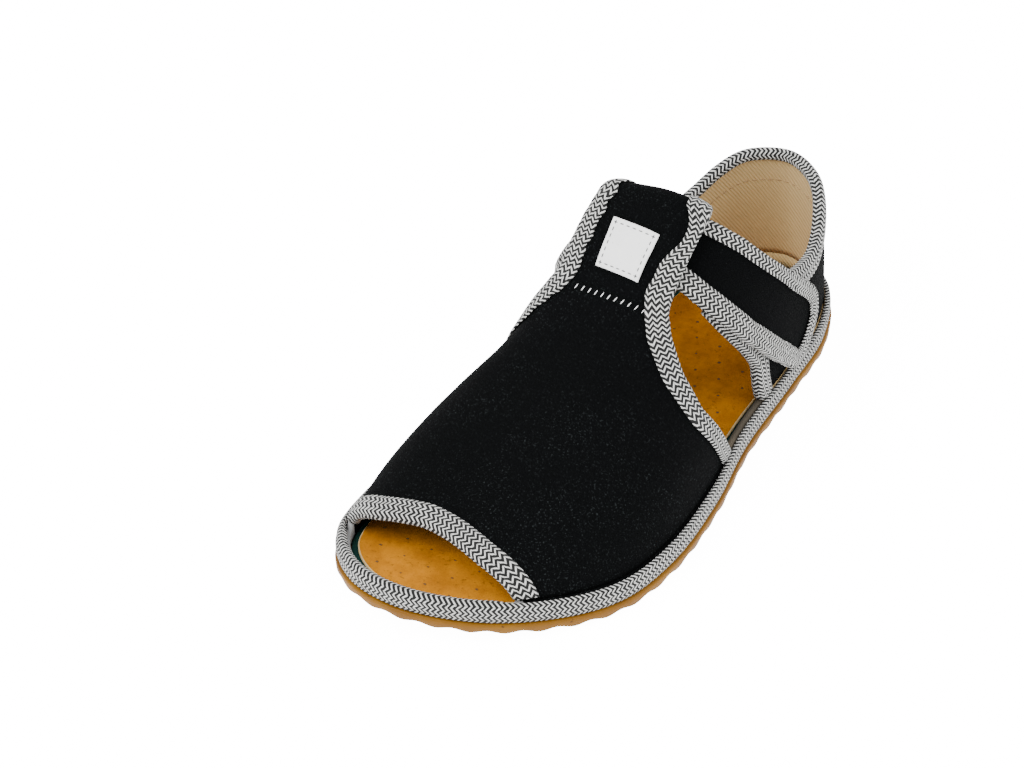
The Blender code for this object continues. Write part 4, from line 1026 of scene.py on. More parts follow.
# %% Woven tape
def woven_tape(name, white=(0.68, 0.68, 0.655), black=(0.0015, 0.0017, 0.0019)):
    material, tree, shader = new_material(name, 0.85, 0.05)
    path = tree.nodes.new("ShaderNodeUVMap")
    path.uv_map = "tape"
    weave = tree.nodes.new("ShaderNodeGroup")
    weave.node_tree = herringbone_group
    tree.links.new(path.outputs[0], weave.inputs["Vector"])
    nap = use_nap(tree, object_coordinates(tree), 2600.0, 0.5)
    shade = ramp(tree, nap.outputs["Height"], 0.3, 0.7, 0.72, 1.0)
    bright = math_node(tree, "MULTIPLY", weave.outputs["White"], shade)
    tree.links.new(mix_colour(tree, bright, black, white), shader.inputs["Base Color"])
    bump(tree, shader, weave.outputs["Height"], 0.7, 0.00035)
    return material


edge_tape = woven_tape("edge_tape")
print("tape", len(edge_tape.node_tree.nodes), "nodes")


# %% [markdown]
# Lining
# The heel is lined with a beige cotton that has fine diagonal ribs. A wave texture on the object's own
# coordinates is enough for them, because the lining is a plain curved sheet.

# %% Lining
def ribbed_lining():
    material, tree, shader = new_material("beige_lining", 0.9, 0.05)
    vector = object_coordinates(tree)
    wave = tree.nodes.new("ShaderNodeTexWave")
    wave.bands_direction = "DIAGONAL"
    wave.inputs["Scale"].default_value = 420.0
    wave.inputs["Distortion"].default_value = 0.6
    wave.inputs["Detail"].default_value = 1.0
    tree.links.new(vector, wave.inputs["Vector"])
    nap = use_nap(tree, vector, 1500.0, 0.6)
    ribs = wave.outputs["Fac"]
    ribbed = mix_colour(tree, ribs, (0.40, 0.27, 0.11), (0.53, 0.375, 0.175))
    blotch = ramp(tree, nap.outputs["Cloud"], 0.3, 0.75)
    colour = mix_colour(tree, math_node(tree, "MULTIPLY", blotch, 0.35), ribbed, (0.55, 0.395, 0.19))
    tree.links.new(colour, shader.inputs["Base Color"])
    bump(tree, shader, ribs, 0.35, 0.0003)
    return material


beige_lining = ribbed_lining()
print("lining", len(beige_lining.node_tree.nodes), "nodes")


# %% [markdown]
# Footbed, foam, rubber and thread
# The footbed is ochre leather: blotchy, matt, darker in its pores. Foam, rubber, pad and patch all have two
# close tones with a few specks, so one function makes them. Threads get a fine uneven grain.

# %% Footbed, and a speckled finish for foam, rubber, pad and patch
def cork_leather():
    material, tree, shader = new_material("ochre_footbed", 0.75)
    shader.inputs["Specular IOR Level"].default_value = 0.08
    vector = object_coordinates(tree)
    blotch = noise(tree, vector, 70.0, 6.0, 0.75)
    pores = noise(tree, vector, 620.0, 4.0, 0.75)
    ground = mix_colour(tree, ramp(tree, blotch, 0.3, 0.7), (0.25, 0.085, 0.0008), (0.42, 0.155, 0.0020))
    dark = ramp(tree, pores, 0.56, 0.70, 0.0, 0.75)
    tree.links.new(mix_colour(tree, dark, ground, (0.14, 0.055, 0.003)), shader.inputs["Base Color"])
    bump(tree, shader, pores, 0.25, 0.0003)
    return material


def speckled(name, first, second, dots, roughness, grain, coat=0.0):
    material, tree, shader = new_material(name, roughness)
    shader.inputs["Specular IOR Level"].default_value = 0.12
    shader.inputs["Coat Weight"].default_value = coat
    vector = object_coordinates(tree)
    blotch = noise(tree, vector, 60.0, 4.0, 0.6)
    specks = noise(tree, vector, grain, 2.0, 0.6)
    ground = mix_colour(tree, ramp(tree, blotch, 0.32, 0.7), first, second)
    share = ramp(tree, specks, 0.66, 0.76)
    tree.links.new(mix_colour(tree, share, ground, dots), shader.inputs["Base Color"])
    bump(tree, shader, specks, 0.2, 0.0003)
    return material


THREAD_GRAIN = 3000.0


def plain_thread(name, colour):
    material, tree, shader = new_material(name, 0.8, 0.05)
    fibres = noise(tree, object_coordinates(tree), THREAD_GRAIN, 2.0)
    darker = tuple(c * 0.8 for c in colour)
    tree.links.new(mix_colour(tree, fibres, darker, colour), shader.inputs["Base Color"])
    bump(tree, shader, fibres, 0.3, 0.0001)
    return material


ochre_footbed = cork_leather()
footbed_edge = speckled(
    "footbed_edge", (0.50, 0.37, 0.18), (0.60, 0.46, 0.24), (0.25, 0.16, 0.06), 0.8, 900.0)
green_foam = speckled(
    "green_foam", (0.006, 0.035, 0.028), (0.012, 0.055, 0.045), (0.03, 0.09, 0.08), 0.85, 1200.0)
gum_rubber = speckled(
    "gum_rubber", (0.13, 0.052, 0.0020), (0.18, 0.078, 0.0036), (0.05, 0.020, 0.002), 0.5, 700.0, 0.03)
pad_grey = speckled(
    "pad_grey", (0.26, 0.26, 0.26), (0.34, 0.34, 0.34), (0.12, 0.12, 0.12), 0.9, 1500.0)
# dark grey-brown for the margin in the gaps between vamp and wings: painted shadow of the narrow gap
gap_shadow_wall = speckled(
    "gap_shadow_wall", (0.05, 0.042, 0.032), (0.09, 0.075, 0.055), (0.02, 0.02, 0.02), 0.9, 1500.0)
patch_white = speckled(
    "patch_white", (0.80, 0.80, 0.79), (0.88, 0.88, 0.87), (0.55, 0.55, 0.54), 0.85, 2200.0)
white_thread = plain_thread("white_thread", (0.80, 0.80, 0.79))
grey_thread = plain_thread("grey_thread", (0.10, 0.10, 0.105))
brown_thread = plain_thread("brown_thread", (0.33, 0.21, 0.10))
# dark brown for the pinhole dishes: painted shade of the inside of each hole
pinhole_shade = plain_thread("pinhole_shade", (0.10, 0.045, 0.008))
print("materials", len(bpy.data.materials))

# %% [markdown]
# Outsole
# The sole is cut from one sheet of gum rubber, with lugs moulded along its lower edge. A ring of points runs
# round the outline with the lugs as a wave on its foot, and rings are stacked up the side.

# %% Outsole
LUG_COUNT = int(round(np.sum(np.linalg.norm(SOLE_LOOP - np.roll(SOLE_LOOP, 1, 0), axis=1)) / LUG_PITCH))
LUG_POINTS = 8


def stacked(name, loop, levels, materials, side_slot=0):
    """A solid through insets of one loop at rising heights, capped below and above by strips."""
    count = len(loop)
    points = []
    for inset, heights in levels:
        drawn_in = inset_loop(loop, inset)
        heights = np.broadcast_to(heights, (count,))
        points += [(x, y, h + float(spring(y))) for (x, y), h in zip(drawn_in, heights)]
    faces = grid_faces(len(levels), count, wrap=True)
    slots = [side_slot] * len(faces)
    top = (len(levels) - 1) * count
    for start in (0, top):
        for k in range(count // 2 - 1):
            a, b, c, d = k, k + 1, count - k - 2, count - k - 1
            faces.append(tuple(start + n for n in ((a, b, c, d) if b != c else (a, b, d))))
            slots.append(0)
    return piece(name, points, faces, materials, slots)


def heel_first(loop):
    return np.roll(loop, -int(np.argmax(loop[:, 1])), 0)


lug_loop = heel_first(even_loop(SOLE_LOOP, LUG_COUNT * LUG_POINTS))
lug_wave = 0.5 - 0.5 * np.cos(2.0 * math.pi * np.arange(len(lug_loop)) / LUG_POINTS)
lug_foot = 0.75 * LUG_RISE * lug_wave
outsole = stacked("gum_outsole", lug_loop, [
    (LUG_REACH, 0.0), (1.2, lug_foot * 0.9), (0.35, lug_foot + 0.05), (0.05, lug_foot + 0.45),
    (0.0, SOLE_T - 0.8), (0.1, SOLE_T - 0.25), (0.4, SOLE_T)], [gum_rubber])

# %% [markdown]
# Footbed
# Under the foot lies a thin ochre sheet on dark green foam. Both are the sole's outline drawn in, stacked up
# in a few rings, so they keep an even distance from the wall of the upper.

# %% Foam and ochre sheet
BED_POINTS = 360
bed_loop = heel_first(even_loop(SOLE_LOOP, BED_POINTS))
foam_edge = FEATHER_INSET + WALL + CLEAR
foam_low = SOLE_T + CLEAR
foam = stacked("green_foam_layer", bed_loop, [
    (foam_edge + 0.1, foam_low), (foam_edge, foam_low + 0.2), (foam_edge, foam_low + FOAM_T - 0.15),
    (foam_edge + 0.2, foam_low + FOAM_T)], [green_foam])
sheet_low = foam_low + FOAM_T + CLEAR
sheet_edge = foam_edge + INSOLE_STEP + 0.3
sheet_top = sheet_low + INSOLE_T
footbed = stacked("ochre_sheet", bed_loop, [
    (sheet_edge + 0.1, sheet_low), (sheet_edge, sheet_low + 0.2), (sheet_edge, sheet_top - 0.3),
    (sheet_edge + 0.35, sheet_top)], [ochre_footbed, footbed_edge], side_slot=1)


# %% [markdown]
# Pinholes
# The footbed is pierced by rows of small holes that let the foot breathe. Cutting them would make a heavy
# mesh for little, and they repeat, so Geometry Nodes set one small dark dish on every point of a staggered
# lattice; the dish's dark colour is painted shade that stands for the inside of the hole. Their radius varies
# a little with a fixed seed, as punched holes in soft leather do.

# %% Pinholes by Geometry Nodes
def add_socket(group, label, kind, value=None, in_out="INPUT"):
    socket = group.interface.new_socket(label, in_out=in_out, socket_type=kind)
    if value is not None:
        socket.default_value = value
    return socket.identifier


def pinhole_tree():
    group = bpy.data.node_groups.new("pinholes", "GeometryNodeTree")
    add_socket(group, "Geometry", "NodeSocketGeometry")
    radius = add_socket(group, "Radius", "NodeSocketFloat", 0.0004)
    add_socket(group, "Geometry", "NodeSocketGeometry", in_out="OUTPUT")
    start = group.nodes.new("NodeGroupInput")
    end = group.nodes.new("NodeGroupOutput")
    dish = group.nodes.new("GeometryNodeMeshCircle")
    dish.fill_type = "NGON"
    dish.inputs["Vertices"].default_value = 10
    vary = group.nodes.new("FunctionNodeRandomValue")
    vary.inputs[2].default_value = 0.7
    vary.inputs[3].default_value = 1.25
    vary.inputs["Seed"].default_value = 4
    place = group.nodes.new("GeometryNodeInstanceOnPoints")
    real = group.nodes.new("GeometryNodeRealizeInstances")
    paint = group.nodes.new("GeometryNodeSetMaterial")
    # the dishes carry the dark finish that paints the shade inside each hole
    paint.inputs["Material"].default_value = pinhole_shade
    group.links.new(start.outputs["Geometry"], place.inputs["Points"])
    group.links.new(start.outputs["Radius"], dish.inputs["Radius"])
    group.links.new(dish.outputs["Mesh"], place.inputs["Instance"])
    group.links.new(vary.outputs[1], place.inputs["Scale"])
    group.links.new(place.outputs["Instances"], real.inputs["Geometry"])
    group.links.new(real.outputs["Geometry"], paint.inputs["Geometry"])
    group.links.new(paint.outputs["Geometry"], end.inputs["Geometry"])
    return group, radius


def baked(carrier, group, settings, name):
    """Runs a node tree on a carrier object and keeps the result as a plain mesh."""
    modifier = carrier.modifiers.new("nodes", "NODES")
    modifier.node_group = group
    for identifier, value in settings.items():
        modifier[identifier] = value
    carrier.update_tag()
    bpy.context.view_layer.update()
    seen = carrier.evaluated_get(bpy.context.evaluated_depsgraph_get())
    mesh = bpy.data.meshes.new_from_object(seen)
    mesh.name = name
    bpy.data.objects.remove(carrier, do_unlink=True)
    made = new_object(name, mesh)
    print(name, len(mesh.polygons), "faces")
    return made


# %% Lattice of the pinholes
HOLE_PITCH = 7.6
HOLE_ROW = 6.4
HOLE_MARGIN = 4.0
HOLE_RADIUS = 0.42
HOLE_LIFT = 0.04        # the dishes lie just over the sheet


def inside_bed(x, y, margin):
    """Whether a place lies on the ochre sheet, a margin or more from its edge."""
    if abs(y) > LENGTH / 2.0 - sheet_edge - margin:
        return False
    left = feather_point(run_at(y, -1))[0] + (sheet_edge - FEATHER_INSET) + margin
    right = feather_point(run_at(y, 1))[0] - (sheet_edge - FEATHER_INSET) - margin
    return left < x < right


lattice = []
for row in range(-15, 16):
    for place in range(-8, 9):
        x = (place + 0.5 * (row % 2)) * HOLE_PITCH
        y = row * HOLE_ROW
        if inside_bed(x, y, HOLE_MARGIN):
            lattice.append(to_metres((x, y, sheet_top + HOLE_LIFT + float(spring(y)))))
hole_mesh = bpy.data.meshes.new("hole_places")
hole_mesh.from_pydata(lattice, [], [])
hole_carrier = new_object("hole_places", hole_mesh)
pinhole_group, pinhole_radius = pinhole_tree()
pinholes = baked(hole_carrier, pinhole_group, {pinhole_radius: HOLE_RADIUS * MM}, "footbed_pinholes")

# %% [markdown]
# Tape along an edge
# The slipper's edges are bound with one woven tape, folded over the cut edge and stitched down. A tape is a
# row of sections along its edge: an outer leg that swells a little, a round fold, and an inner leg. The
# length along the edge and the way round the section are kept as a map, so the weave follows every curve.

# %% Tape sections
LEG_PARTS = 5
FOLD_PARTS = 7
TAPE_SWELL = 0.22       # how far the middle of a leg swells, and how near the fold
SWELL_SHIFT = 0.12
SEWN_SHARE = 0.55       # thickness of the tape at its sewn edge, as a share of its own
FOLD_FLAT = 0.72        # how flat the fold is pressed
LEVEL_REACH = 11.0      # length over which a level end turns
LEAST_LEAN = 0.6


def smooth_row(values, passes=2):
    """Evens out a row of vectors without moving its ends."""
    values = np.array(values, float)
    for _ in range(passes):
        values[1:-1] = (values[:-2] + 2.0 * values[1:-1] + values[2:]) / 4.0
    return values


def tape_rails(surface, outward, places, turn, legs, level_ends=()):
    """Places under the inner end of the tape. A level end turns to run parallel to the sole."""
    count = len(places)
    edge = np.array([surface(*place) for place in places])
    run = run_along(edge)
    normals = smooth_row([normal_of(surface, *place, outward)[0] for place in places])
    rails = []
    for i, place in enumerate(places):
        ahead = edge[min(i + 1, count - 1)] - edge[max(i - 1, 0)]
        inward = np.cross(normals[i], ahead) * turn
        inward = inward / np.linalg.norm(inward)
        reach = legs[i]
        near = [run[i] if end == 0 else run[-1] - run[i] for end in level_ends]
        weight = max([float(np.clip(1.0 - d / LEVEL_REACH, 0.0, 1.0)) for d in near], default=0.0)
        if weight > 0.0:
            flat = np.cross(normals[i], (0.0, 0.0, 1.0))
            flat = flat / np.linalg.norm(flat) * math.copysign(1.0, float(np.dot(flat, inward)))
            mixed = flat * weight + inward * (1.0 - weight)
            mixed = mixed / np.linalg.norm(mixed)
            reach = reach / max(float(np.dot(mixed, inward)), LEAST_LEAN)
            inward = mixed
        rails.append(moved(surface, *place, inward, reach))
    return smooth_row(rails, 3)


def tape(name, surface, outward, places, rails, wall, inside=1.0):
    """Tape folded over an edge. The leg inside can be shorter than the outer one by a share."""
    places = np.array(places, float)
    rails = np.array(rails, float)
    count = len(places)
    edge = np.array([surface(*place) for place in places])
    run = run_along(edge)

    def leg(share):
        made = []
        for t in np.linspace(1.0, 0.0, LEG_PARTS + 1):
            row = places + (rails - places) * (t * share)
            points = np.array([surface(*place) for place in row])
            normals = np.array([normal_of(surface, *place, outward)[0] for place in row])
            made.append((t, points, normals))
        return made

    legs = leg(1.0)
    back_legs = legs if inside == 1.0 else leg(inside)
    inward = legs[-2][1] - edge
    lifts = smooth_row(legs[-1][2])
    inward = inward - lifts * np.sum(inward * lifts, axis=1)[:, None]
    out = -smooth_row(inward / np.linalg.norm(inward, axis=1)[:, None])
    section = []
    mark = []
    leg_length = np.linalg.norm(legs[0][1] - edge, axis=1)
    fold_length = math.pi * wall / 1.4
    for side in (1, -1):
        rows = legs if side == 1 else back_legs[::-1]
        for t, points, normals in rows:
            lift = CLEAR + TAPE_T + TAPE_SWELL * math.sin(math.pi * min(1.0, t + SWELL_SHIFT))
            if t == 1.0:
                lift = CLEAR + TAPE_T * SEWN_SHARE
            height = lift if side == 1 else -(wall + lift)
            section.append(points + normals * height)
            outer_mark = leg_length * (1.0 - t)
            mark.append(outer_mark if side == 1 else leg_length + fold_length + leg_length * inside * t)
        if side == 1:
            middle = wall / 2.0
            radius = middle + CLEAR + TAPE_T
            for k in range(1, FOLD_PARTS):
                angle = math.pi / 2.0 - math.pi * k / FOLD_PARTS
                section.append(edge + out * (radius * FOLD_FLAT * math.cos(angle))
                               + lifts * (radius * math.sin(angle) - middle))
                mark.append(leg_length + fold_length * k / FOLD_PARTS)
    under = [points - normals * (wall + CLEAR) for _, points, normals in back_legs]
    over = [points + normals * CLEAR for _, points, normals in legs[::-1]]
    bend = [edge + out * CLEAR - lifts * (wall + CLEAR), edge + out * CLEAR + lifts * CLEAR]
    section += under[:-1] + bend + over[1:]
    width = len(section)
    points = [section[k][i] for i in range(count) for k in range(width)]
    seen = len(mark)
    uvs = []
    for i in range(count):
        for k in range(width):
            uvs.append((run[i], mark[k][i] if k < seen else 0.0))
    faces = grid_faces(count, width, wrap=True)
    for start in (0, (count - 1) * width):
        faces.append(tuple(start + k for k in range(width)))
    return piece(name, points, faces, [edge_tape], uvs=uvs)


print("a tape's section has", 2 * (LEG_PARTS + 1) + FOLD_PARTS - 1, "points outside")

# %% [markdown]
# Band round the sole
# The same tape stands round the whole sole edge. At the toe it folds in over the rim that the open toe
# leaves, so its section changes there from a standing strip to a hook.

# %% Sole band
BAND_POINTS = 420
RIM_EASE = 5.0          # length over which the strip turns into a hook
RIM_ROUND = 0.9         # how far the hook's end is rounded back


def rim_share(k, loop, starts):
    """1 where the band folds in over the toe rim, 0 elsewhere, with a short ease between."""
    distance = min(float(np.linalg.norm(loop[k] - start)) for start in starts)
    in_front = loop[k][1] < min(start[1] for start in starts) + 0.1 or (
        loop[k][0] > 0.0 and loop[k][1] < starts[0][1]) or (loop[k][0] <= 0.0 and loop[k][1] < starts[1][1])
    return float(np.clip(distance / RIM_EASE, 0.0, 1.0)) if in_front else 0.0


band_loop = heel_first(even_loop(SOLE_LOOP, BAND_POINTS))
rim_starts = []
for side in (1, -1):
    run = (run_at(toe_corner(side), side) + side * (PROUD + 2.0 * CLEAR)) % PERIMETER
    rim_starts.append(SOLE_LOOP[int(np.argmin(np.abs(FEATHER_RUN - run)))])
band_top = SOLE_T + BAND_H
band_low = SOLE_T + CLEAR
band_in = BAND_INSET + BAND_T
rim_in = band_in + RIM_REACH - RIM_ROUND
STANDING = (
    # inset, height
    (0.75, band_low), (0.42, band_low + 1.6), (0.38, band_low + 3.4), (0.62, band_top - 0.55),
    (1.00, band_top - 0.12), (1.45, band_top), (1.85, band_top - 0.18), (band_in, band_top - 0.7),
    (band_in, band_top - 1.6), (band_in, band_low + 1.8), (band_in, band_low),
)
HOOKED = (
    # inset, height
    (0.75, band_low), (0.40, band_low + 1.6), (0.38, band_low + 3.2), (0.72, band_top - 0.75),
    (1.20, band_top - 0.15), (1.90, band_top), (2.70, band_top - 0.12), (rim_in, band_top - 0.6),
    (rim_in, band_top - RIM_FOLD), (band_in, band_top - RIM_FOLD), (band_in, band_low),
)
band_shares = [rim_share(k, band_loop, rim_starts) for k in range(BAND_POINTS)]
band_run = run_along(band_loop)
band_rings = []
for (inset, height), (hook_inset, hook_height) in zip(STANDING, HOOKED):
    near = inset_loop(band_loop, inset)
    far = inset_loop(band_loop, hook_inset)
    ring = []
    for k, share in enumerate(band_shares):
        x, y = near[k] + (far[k] - near[k]) * share
        ring.append((x, y, height + (hook_height - height) * share + float(spring(band_loop[k][1]))))
    band_rings.append(ring)
band_marks = np.concatenate([[0.0], np.cumsum([
    math.hypot(b[0] - a[0], b[1] - a[1]) for a, b in zip(STANDING, STANDING[1:])])])
band_width = len(STANDING)
band_points = [band_rings[k][i] for i in range(BAND_POINTS) for k in range(band_width)]
band_points += [band_rings[k][0] for k in range(band_width)]
band_uvs = [(band_run[i], band_marks[k]) for i in range(BAND_POINTS) for k in range(band_width)]
last_step = float(np.linalg.norm(band_loop[0] - band_loop[-1]))
band_uvs += [(band_run[-1] + last_step, band_marks[k]) for k in range(band_width)]
band = piece("sole_band", band_points, grid_faces(BAND_POINTS + 1, band_width, wrap=True), [edge_tape],
             uvs=band_uvs)

# %% [markdown]
# Upper
# The upper is black felt, lined with beige ribbed cloth at the heel. The vamp and the T-bar are one piece of
# cloth: columns run from the toe opening over the ball, up the T-bar, round its fold and back inside. The
# quarter is a second one, round the heel from wing to wing. A low margin inside the band joins them.

# %% [markdown]
# Creases
# Each step bends the vamp over the toe joints, and the felt keeps soft troughs and ridges there. Sculpting
# would do, but a short table keeps them in the slipper's own sizes, so they move with a changed length.

# %% Soft forms of the vamp
CREASES = (
    # station, arc, half_length, half_width, depth, slant
    (0.640, 0.10, 0.26, 0.016, 0.35, -0.05),
    (0.700, -0.12, 0.22, 0.018, 0.30, 0.06),
    (0.560, -0.10, 0.16, 0.020, 0.30, 0.10),
    (0.780, 0.18, 0.18, 0.020, -0.22, -0.04),
)


def crease_lift(y, arc):
    """Height of the soft troughs and ridges that wear has left across the vamp."""
    station = station_of(y)
    total = 0.0
    for at, middle, half_length, half_width, depth, slant in CREASES:
        away = arc / BALL_WIDTH - middle
        across = (station - at - slant * away) / half_width
        total -= depth * math.exp(-across ** 2 - (away / half_length) ** 4)
    return total


print("creases", len(CREASES))


# %% [markdown]
# Vamp and T-bar
# The rows of the vamp are blended between its front and its back edge. The T-bar goes on from the middle of
# the back edge with columns of its own, so that the cloth runs through without a seam.

# %% Columns of the T-bar
EDGE_STEPS = 30
TBAR_ACROSS = 22
VAMP_STEPS = 60
TBAR_STEPS = 34
FOLD_STEPS = 18
RETURN_STEPS = 20
CREASE_FADE = 9.0       # the creases end this far from the edges of the vamp


def tbar_across(y):
    return np.linspace(tbar_arc(y, 1.0), tbar_arc(y, -1.0), TBAR_ACROSS + 1)


def tbar_column(number):
    """Places of one column: up the front, round the fold and back down inside."""
    root = float(y_at(TBAR_STATION))
    end = float(y_at(RETURN_END))
    turn = math.pi * FOLD_R
    top = fold_y(tbar_across(fold_y(0.0))[number])
    places = []
    for i in range(1, TBAR_STEPS + 1):
        y = root + (top - root) * i / TBAR_STEPS
        places.append((min(y, fold_y(tbar_across(y)[number])), tbar_across(y)[number]))
    arc = places[-1][1]
    places += [(fold_y(arc) + turn * i / FOLD_STEPS, arc) for i in range(1, FOLD_STEPS + 1)]
    for i in range(1, RETURN_STEPS + 1):
        y = top + (end - top) * i / RETURN_STEPS
        arc = tbar_across(max(y, root))[number]
        places.append((fold_y(arc) + turn + fold_y(arc) - y, arc))
    return places


def share_of_side(y, arc):
    return arc / abs(arc_at_height(y, MARGIN_H, 1 if arc > 0 else -1))


def toe_places(count):
    """Places along the front edge of the vamp, from the lateral corner to the medial one."""
    places = []
    for share in np.linspace(1.0, -1.0, count):
        side = 1 if share > 0 else -1
        arc = share * abs(arc_at_height(float(y_at(TOE_CORNER_STATION)), MARGIN_H, side))
        y = float(y_at(eased(arc / BALL_WIDTH, column(TOE_EDGE, 0), column(TOE_EDGE, 1))))
        places.append((y, share * abs(arc_at_height(y, MARGIN_H, side))))
    return places


print("a column of the T-bar has", len(tbar_column(0)), "places")

# %% Vamp and T-bar
root_y = float(y_at(TBAR_STATION))
backs = vamp_edge_places(1, EDGE_STEPS + 1) + [(root_y, arc) for arc in tbar_across(root_y)[1:-1]]
backs += vamp_edge_places(-1, EDGE_STEPS + 1)[::-1]
fronts = toe_places(len(backs))
vamp_rows = []
for t in np.linspace(0.0, 1.0, VAMP_STEPS + 1):
    row = []
    for front, back in zip(fronts, backs):
        y = front[0] + (back[0] - front[0]) * t
        share = share_of_side(*front) + (share_of_side(*back) - share_of_side(*front)) * t
        row.append((y, share * abs(arc_at_height(y, MARGIN_H, 1 if share > 0 else -1))))
    vamp_rows.append(row)
vamp_grid, vamp_lifts = lay(upper_point, LAST_OUT, vamp_rows)
for row, grid, lifts in zip(vamp_rows, vamp_grid, vamp_lifts):
    for k, place in enumerate(row):
        near_edge = min(1.0, min(abs(place[0] - fronts[k][0]), abs(place[0] - backs[k][0])) / CREASE_FADE)
        grid[k] = grid[k] + lifts[k] * crease_lift(*place) * near_edge
tbar_rows = [list(row) for row in zip(*[tbar_column(k) for k in range(TBAR_ACROSS + 1)])]
tbar_grid, tbar_lifts = lay(upper_point, LAST_OUT, tbar_rows)
print("vamp", len(vamp_rows), "x", len(backs), "T-bar", len(tbar_rows), "x", TBAR_ACROSS + 1)


# %% [markdown]
# Quarter
# The quarter wraps the heel and ends in two wings. Its columns stand on the feather line and lean with the
# last, and they are closer together in the wings, where the edges curve most.

# %% Quarter
HEEL_STEPS = 120
WING_STEPS = 30
QUARTER_ROWS = 18


def quarter_places():
    """Low and high place of each column, from the lateral wing's end round the heel to the medial one's."""
    ends = [run_at(float(y_at(LATERAL_GAP_END)), 1), run_at(float(y_at(MEDIAL_GAP_END)), -1)]
    runs = np.linspace(ends[0], ends[1], HEEL_STEPS + 1)
    shares = np.linspace(0.0, 1.0, WING_STEPS + 1)
    columns = [(wing_low(s, 1), wing_high(s, 1)) for s in shares]
    start = columns[-1][1][0]
    finish = wing_high(1.0, -1)[0]
    for k in range(1, HEEL_STEPS):
        high = start + (finish - start) * k / HEEL_STEPS
        columns.append(((runs[k], SOLE_T + MARGIN_H), (high, collar_z(float(feather_point(high)[1])))))
    return columns + [(wing_low(s, -1), wing_high(s, -1)) for s in shares[::-1]]


quarter_columns = quarter_places()
quarter_rows = []
for t in np.linspace(0.0, 1.0, QUARTER_ROWS + 1):
    quarter_rows.append([tuple(np.array(low) + (np.array(high) - np.array(low)) * t)
                         for low, high in quarter_columns])
quarter_grid, quarter_lifts = lay(wall_point, WALL_OUT, quarter_rows)
print("quarter", len(quarter_rows), "x", len(quarter_columns))


# %% [markdown]
# Margin
# Below, the cloth is sewn to the sole all round. That margin hides behind the band, and shows only as the
# inner side of the rim at the toe and in the gaps between vamp and wings, so a plain strip is enough. In
# those gaps it gets a dark grey-brown finish that paints the shadow down in the gap.

# %% Margin behind the band
MARGIN_POINTS = 360
MARGIN_SHORT = 0.15     # how far the margin stays under the cloth above it, and behind its face
MARGIN_SINK = 0.1


def margin_height(y, x):
    corner = toe_corner(1 if x > 0 else -1)
    return RIM_MARGIN_H if y < corner - PROUD - CLEAR else MARGIN_H


margin_rows = [[], []]
for run in np.linspace(0.0, PERIMETER, MARGIN_POINTS, endpoint=False):
    x, y = (float(v) for v in feather_point(run))
    foot = SOLE_T + float(spring(y))
    margin_rows[0].append((x, y, foot + CLEAR))
    margin_rows[1].append((x, y, foot + margin_height(y, x) - MARGIN_SHORT))
margin_out = np.array(margin_rows)
flat = margin_out[:, :, :2]
ahead = np.roll(flat[0], -1, 0) - np.roll(flat[0], 1, 0)
side_way = np.stack([-ahead[:, 1], ahead[:, 0]], axis=1)
side_way = side_way / np.linalg.norm(side_way, axis=1)[:, None]
if np.sum((flat[0].mean(0) - flat[0]) * side_way) < 0:
    side_way = -side_way
margin_in = margin_out.copy()
margin_in[:, :, :2] += side_way[None] * WALL
margin_out[:, :, :2] += side_way[None] * MARGIN_SINK
margin_ring = [margin_out[0], margin_out[1], margin_in[1], margin_in[0]]
margin_points = [margin_ring[k][i] for i in range(MARGIN_POINTS) for k in range(4)]
margin_faces = grid_faces(MARGIN_POINTS, 4, wrap=True, close=True)
print("margin", len(margin_faces), "faces")

# %% The whole upper
upper_points, upper_faces, upper_slots = [], [], []
for grid, lifts, lining in ((vamp_grid, vamp_lifts, 0), (quarter_grid, quarter_lifts, 1)):
    points, faces, slots = sheet(grid, lifts, WALL)
    start = len(upper_points)
    upper_points += points
    upper_faces += [tuple(k + start for k in face) for face in faces]
    upper_slots += [slot if lining else 0 for slot in slots]
tbar_all = [vamp_grid[-1][EDGE_STEPS:EDGE_STEPS + TBAR_ACROSS + 1]] + tbar_grid
tbar_all_lifts = [vamp_lifts[-1][EDGE_STEPS:EDGE_STEPS + TBAR_ACROSS + 1]] + tbar_lifts
points, faces, _ = sheet(tbar_all, tbar_all_lifts, WALL)
start = len(upper_points)
upper_points += points
upper_faces += [tuple(k + start for k in face) for face in faces]
upper_slots += [0] * len(faces)
start = len(upper_points)
upper_points += margin_points
upper_faces += [tuple(k + start for k in face) for face in margin_faces]
# slot 3, the margin in the gaps between vamp and wings, gets the dark finish that paints the gap's shadow
for face in margin_faces:
    middle = np.mean([margin_points[k] for k in face], axis=0)
    behind = middle[1] > float(y_at(LATERAL_GAP_END))
    gap = middle[1] > float(y_at(VAMP_EDGE_LATERAL[0][1]))
    toe = middle[1] < max(toe_corner(1), toe_corner(-1))
    upper_slots.append(1 if behind else 3 if gap else 2 if toe else 0)
upper_finishes = [black_felt, beige_lining, pad_grey, gap_shadow_wall]
upper = piece("felt_upper", upper_points, upper_faces, upper_finishes, upper_slots)

# %% [markdown]
# Tape on the upper
# The tape runs round the toe opening, up both sides of the vamp and T-bar and over the fold, along the wings
# and right round the collar.

# %% Tapes of the upper
def over_band(surface, places):
    """Drops the places of an edge that lie behind the band."""
    def rise(place):
        point = surface(*place)
        return point[2] - SOLE_T - float(spring(point[1])) - BAND_H - CLEAR
    kept = list(places)
    while rise(kept[1]) < 0.0:
        kept.pop(0)
    low, high = rise(kept[0]), rise(kept[1])
    share = float(np.clip(-low / (high - low), 0.0, 1.0))
    kept[0] = tuple(np.array(kept[0]) + (np.array(kept[1]) - np.array(kept[0])) * share)
    return kept


def legs_of(count, length=TAPE_LEG):
    return [length] * count


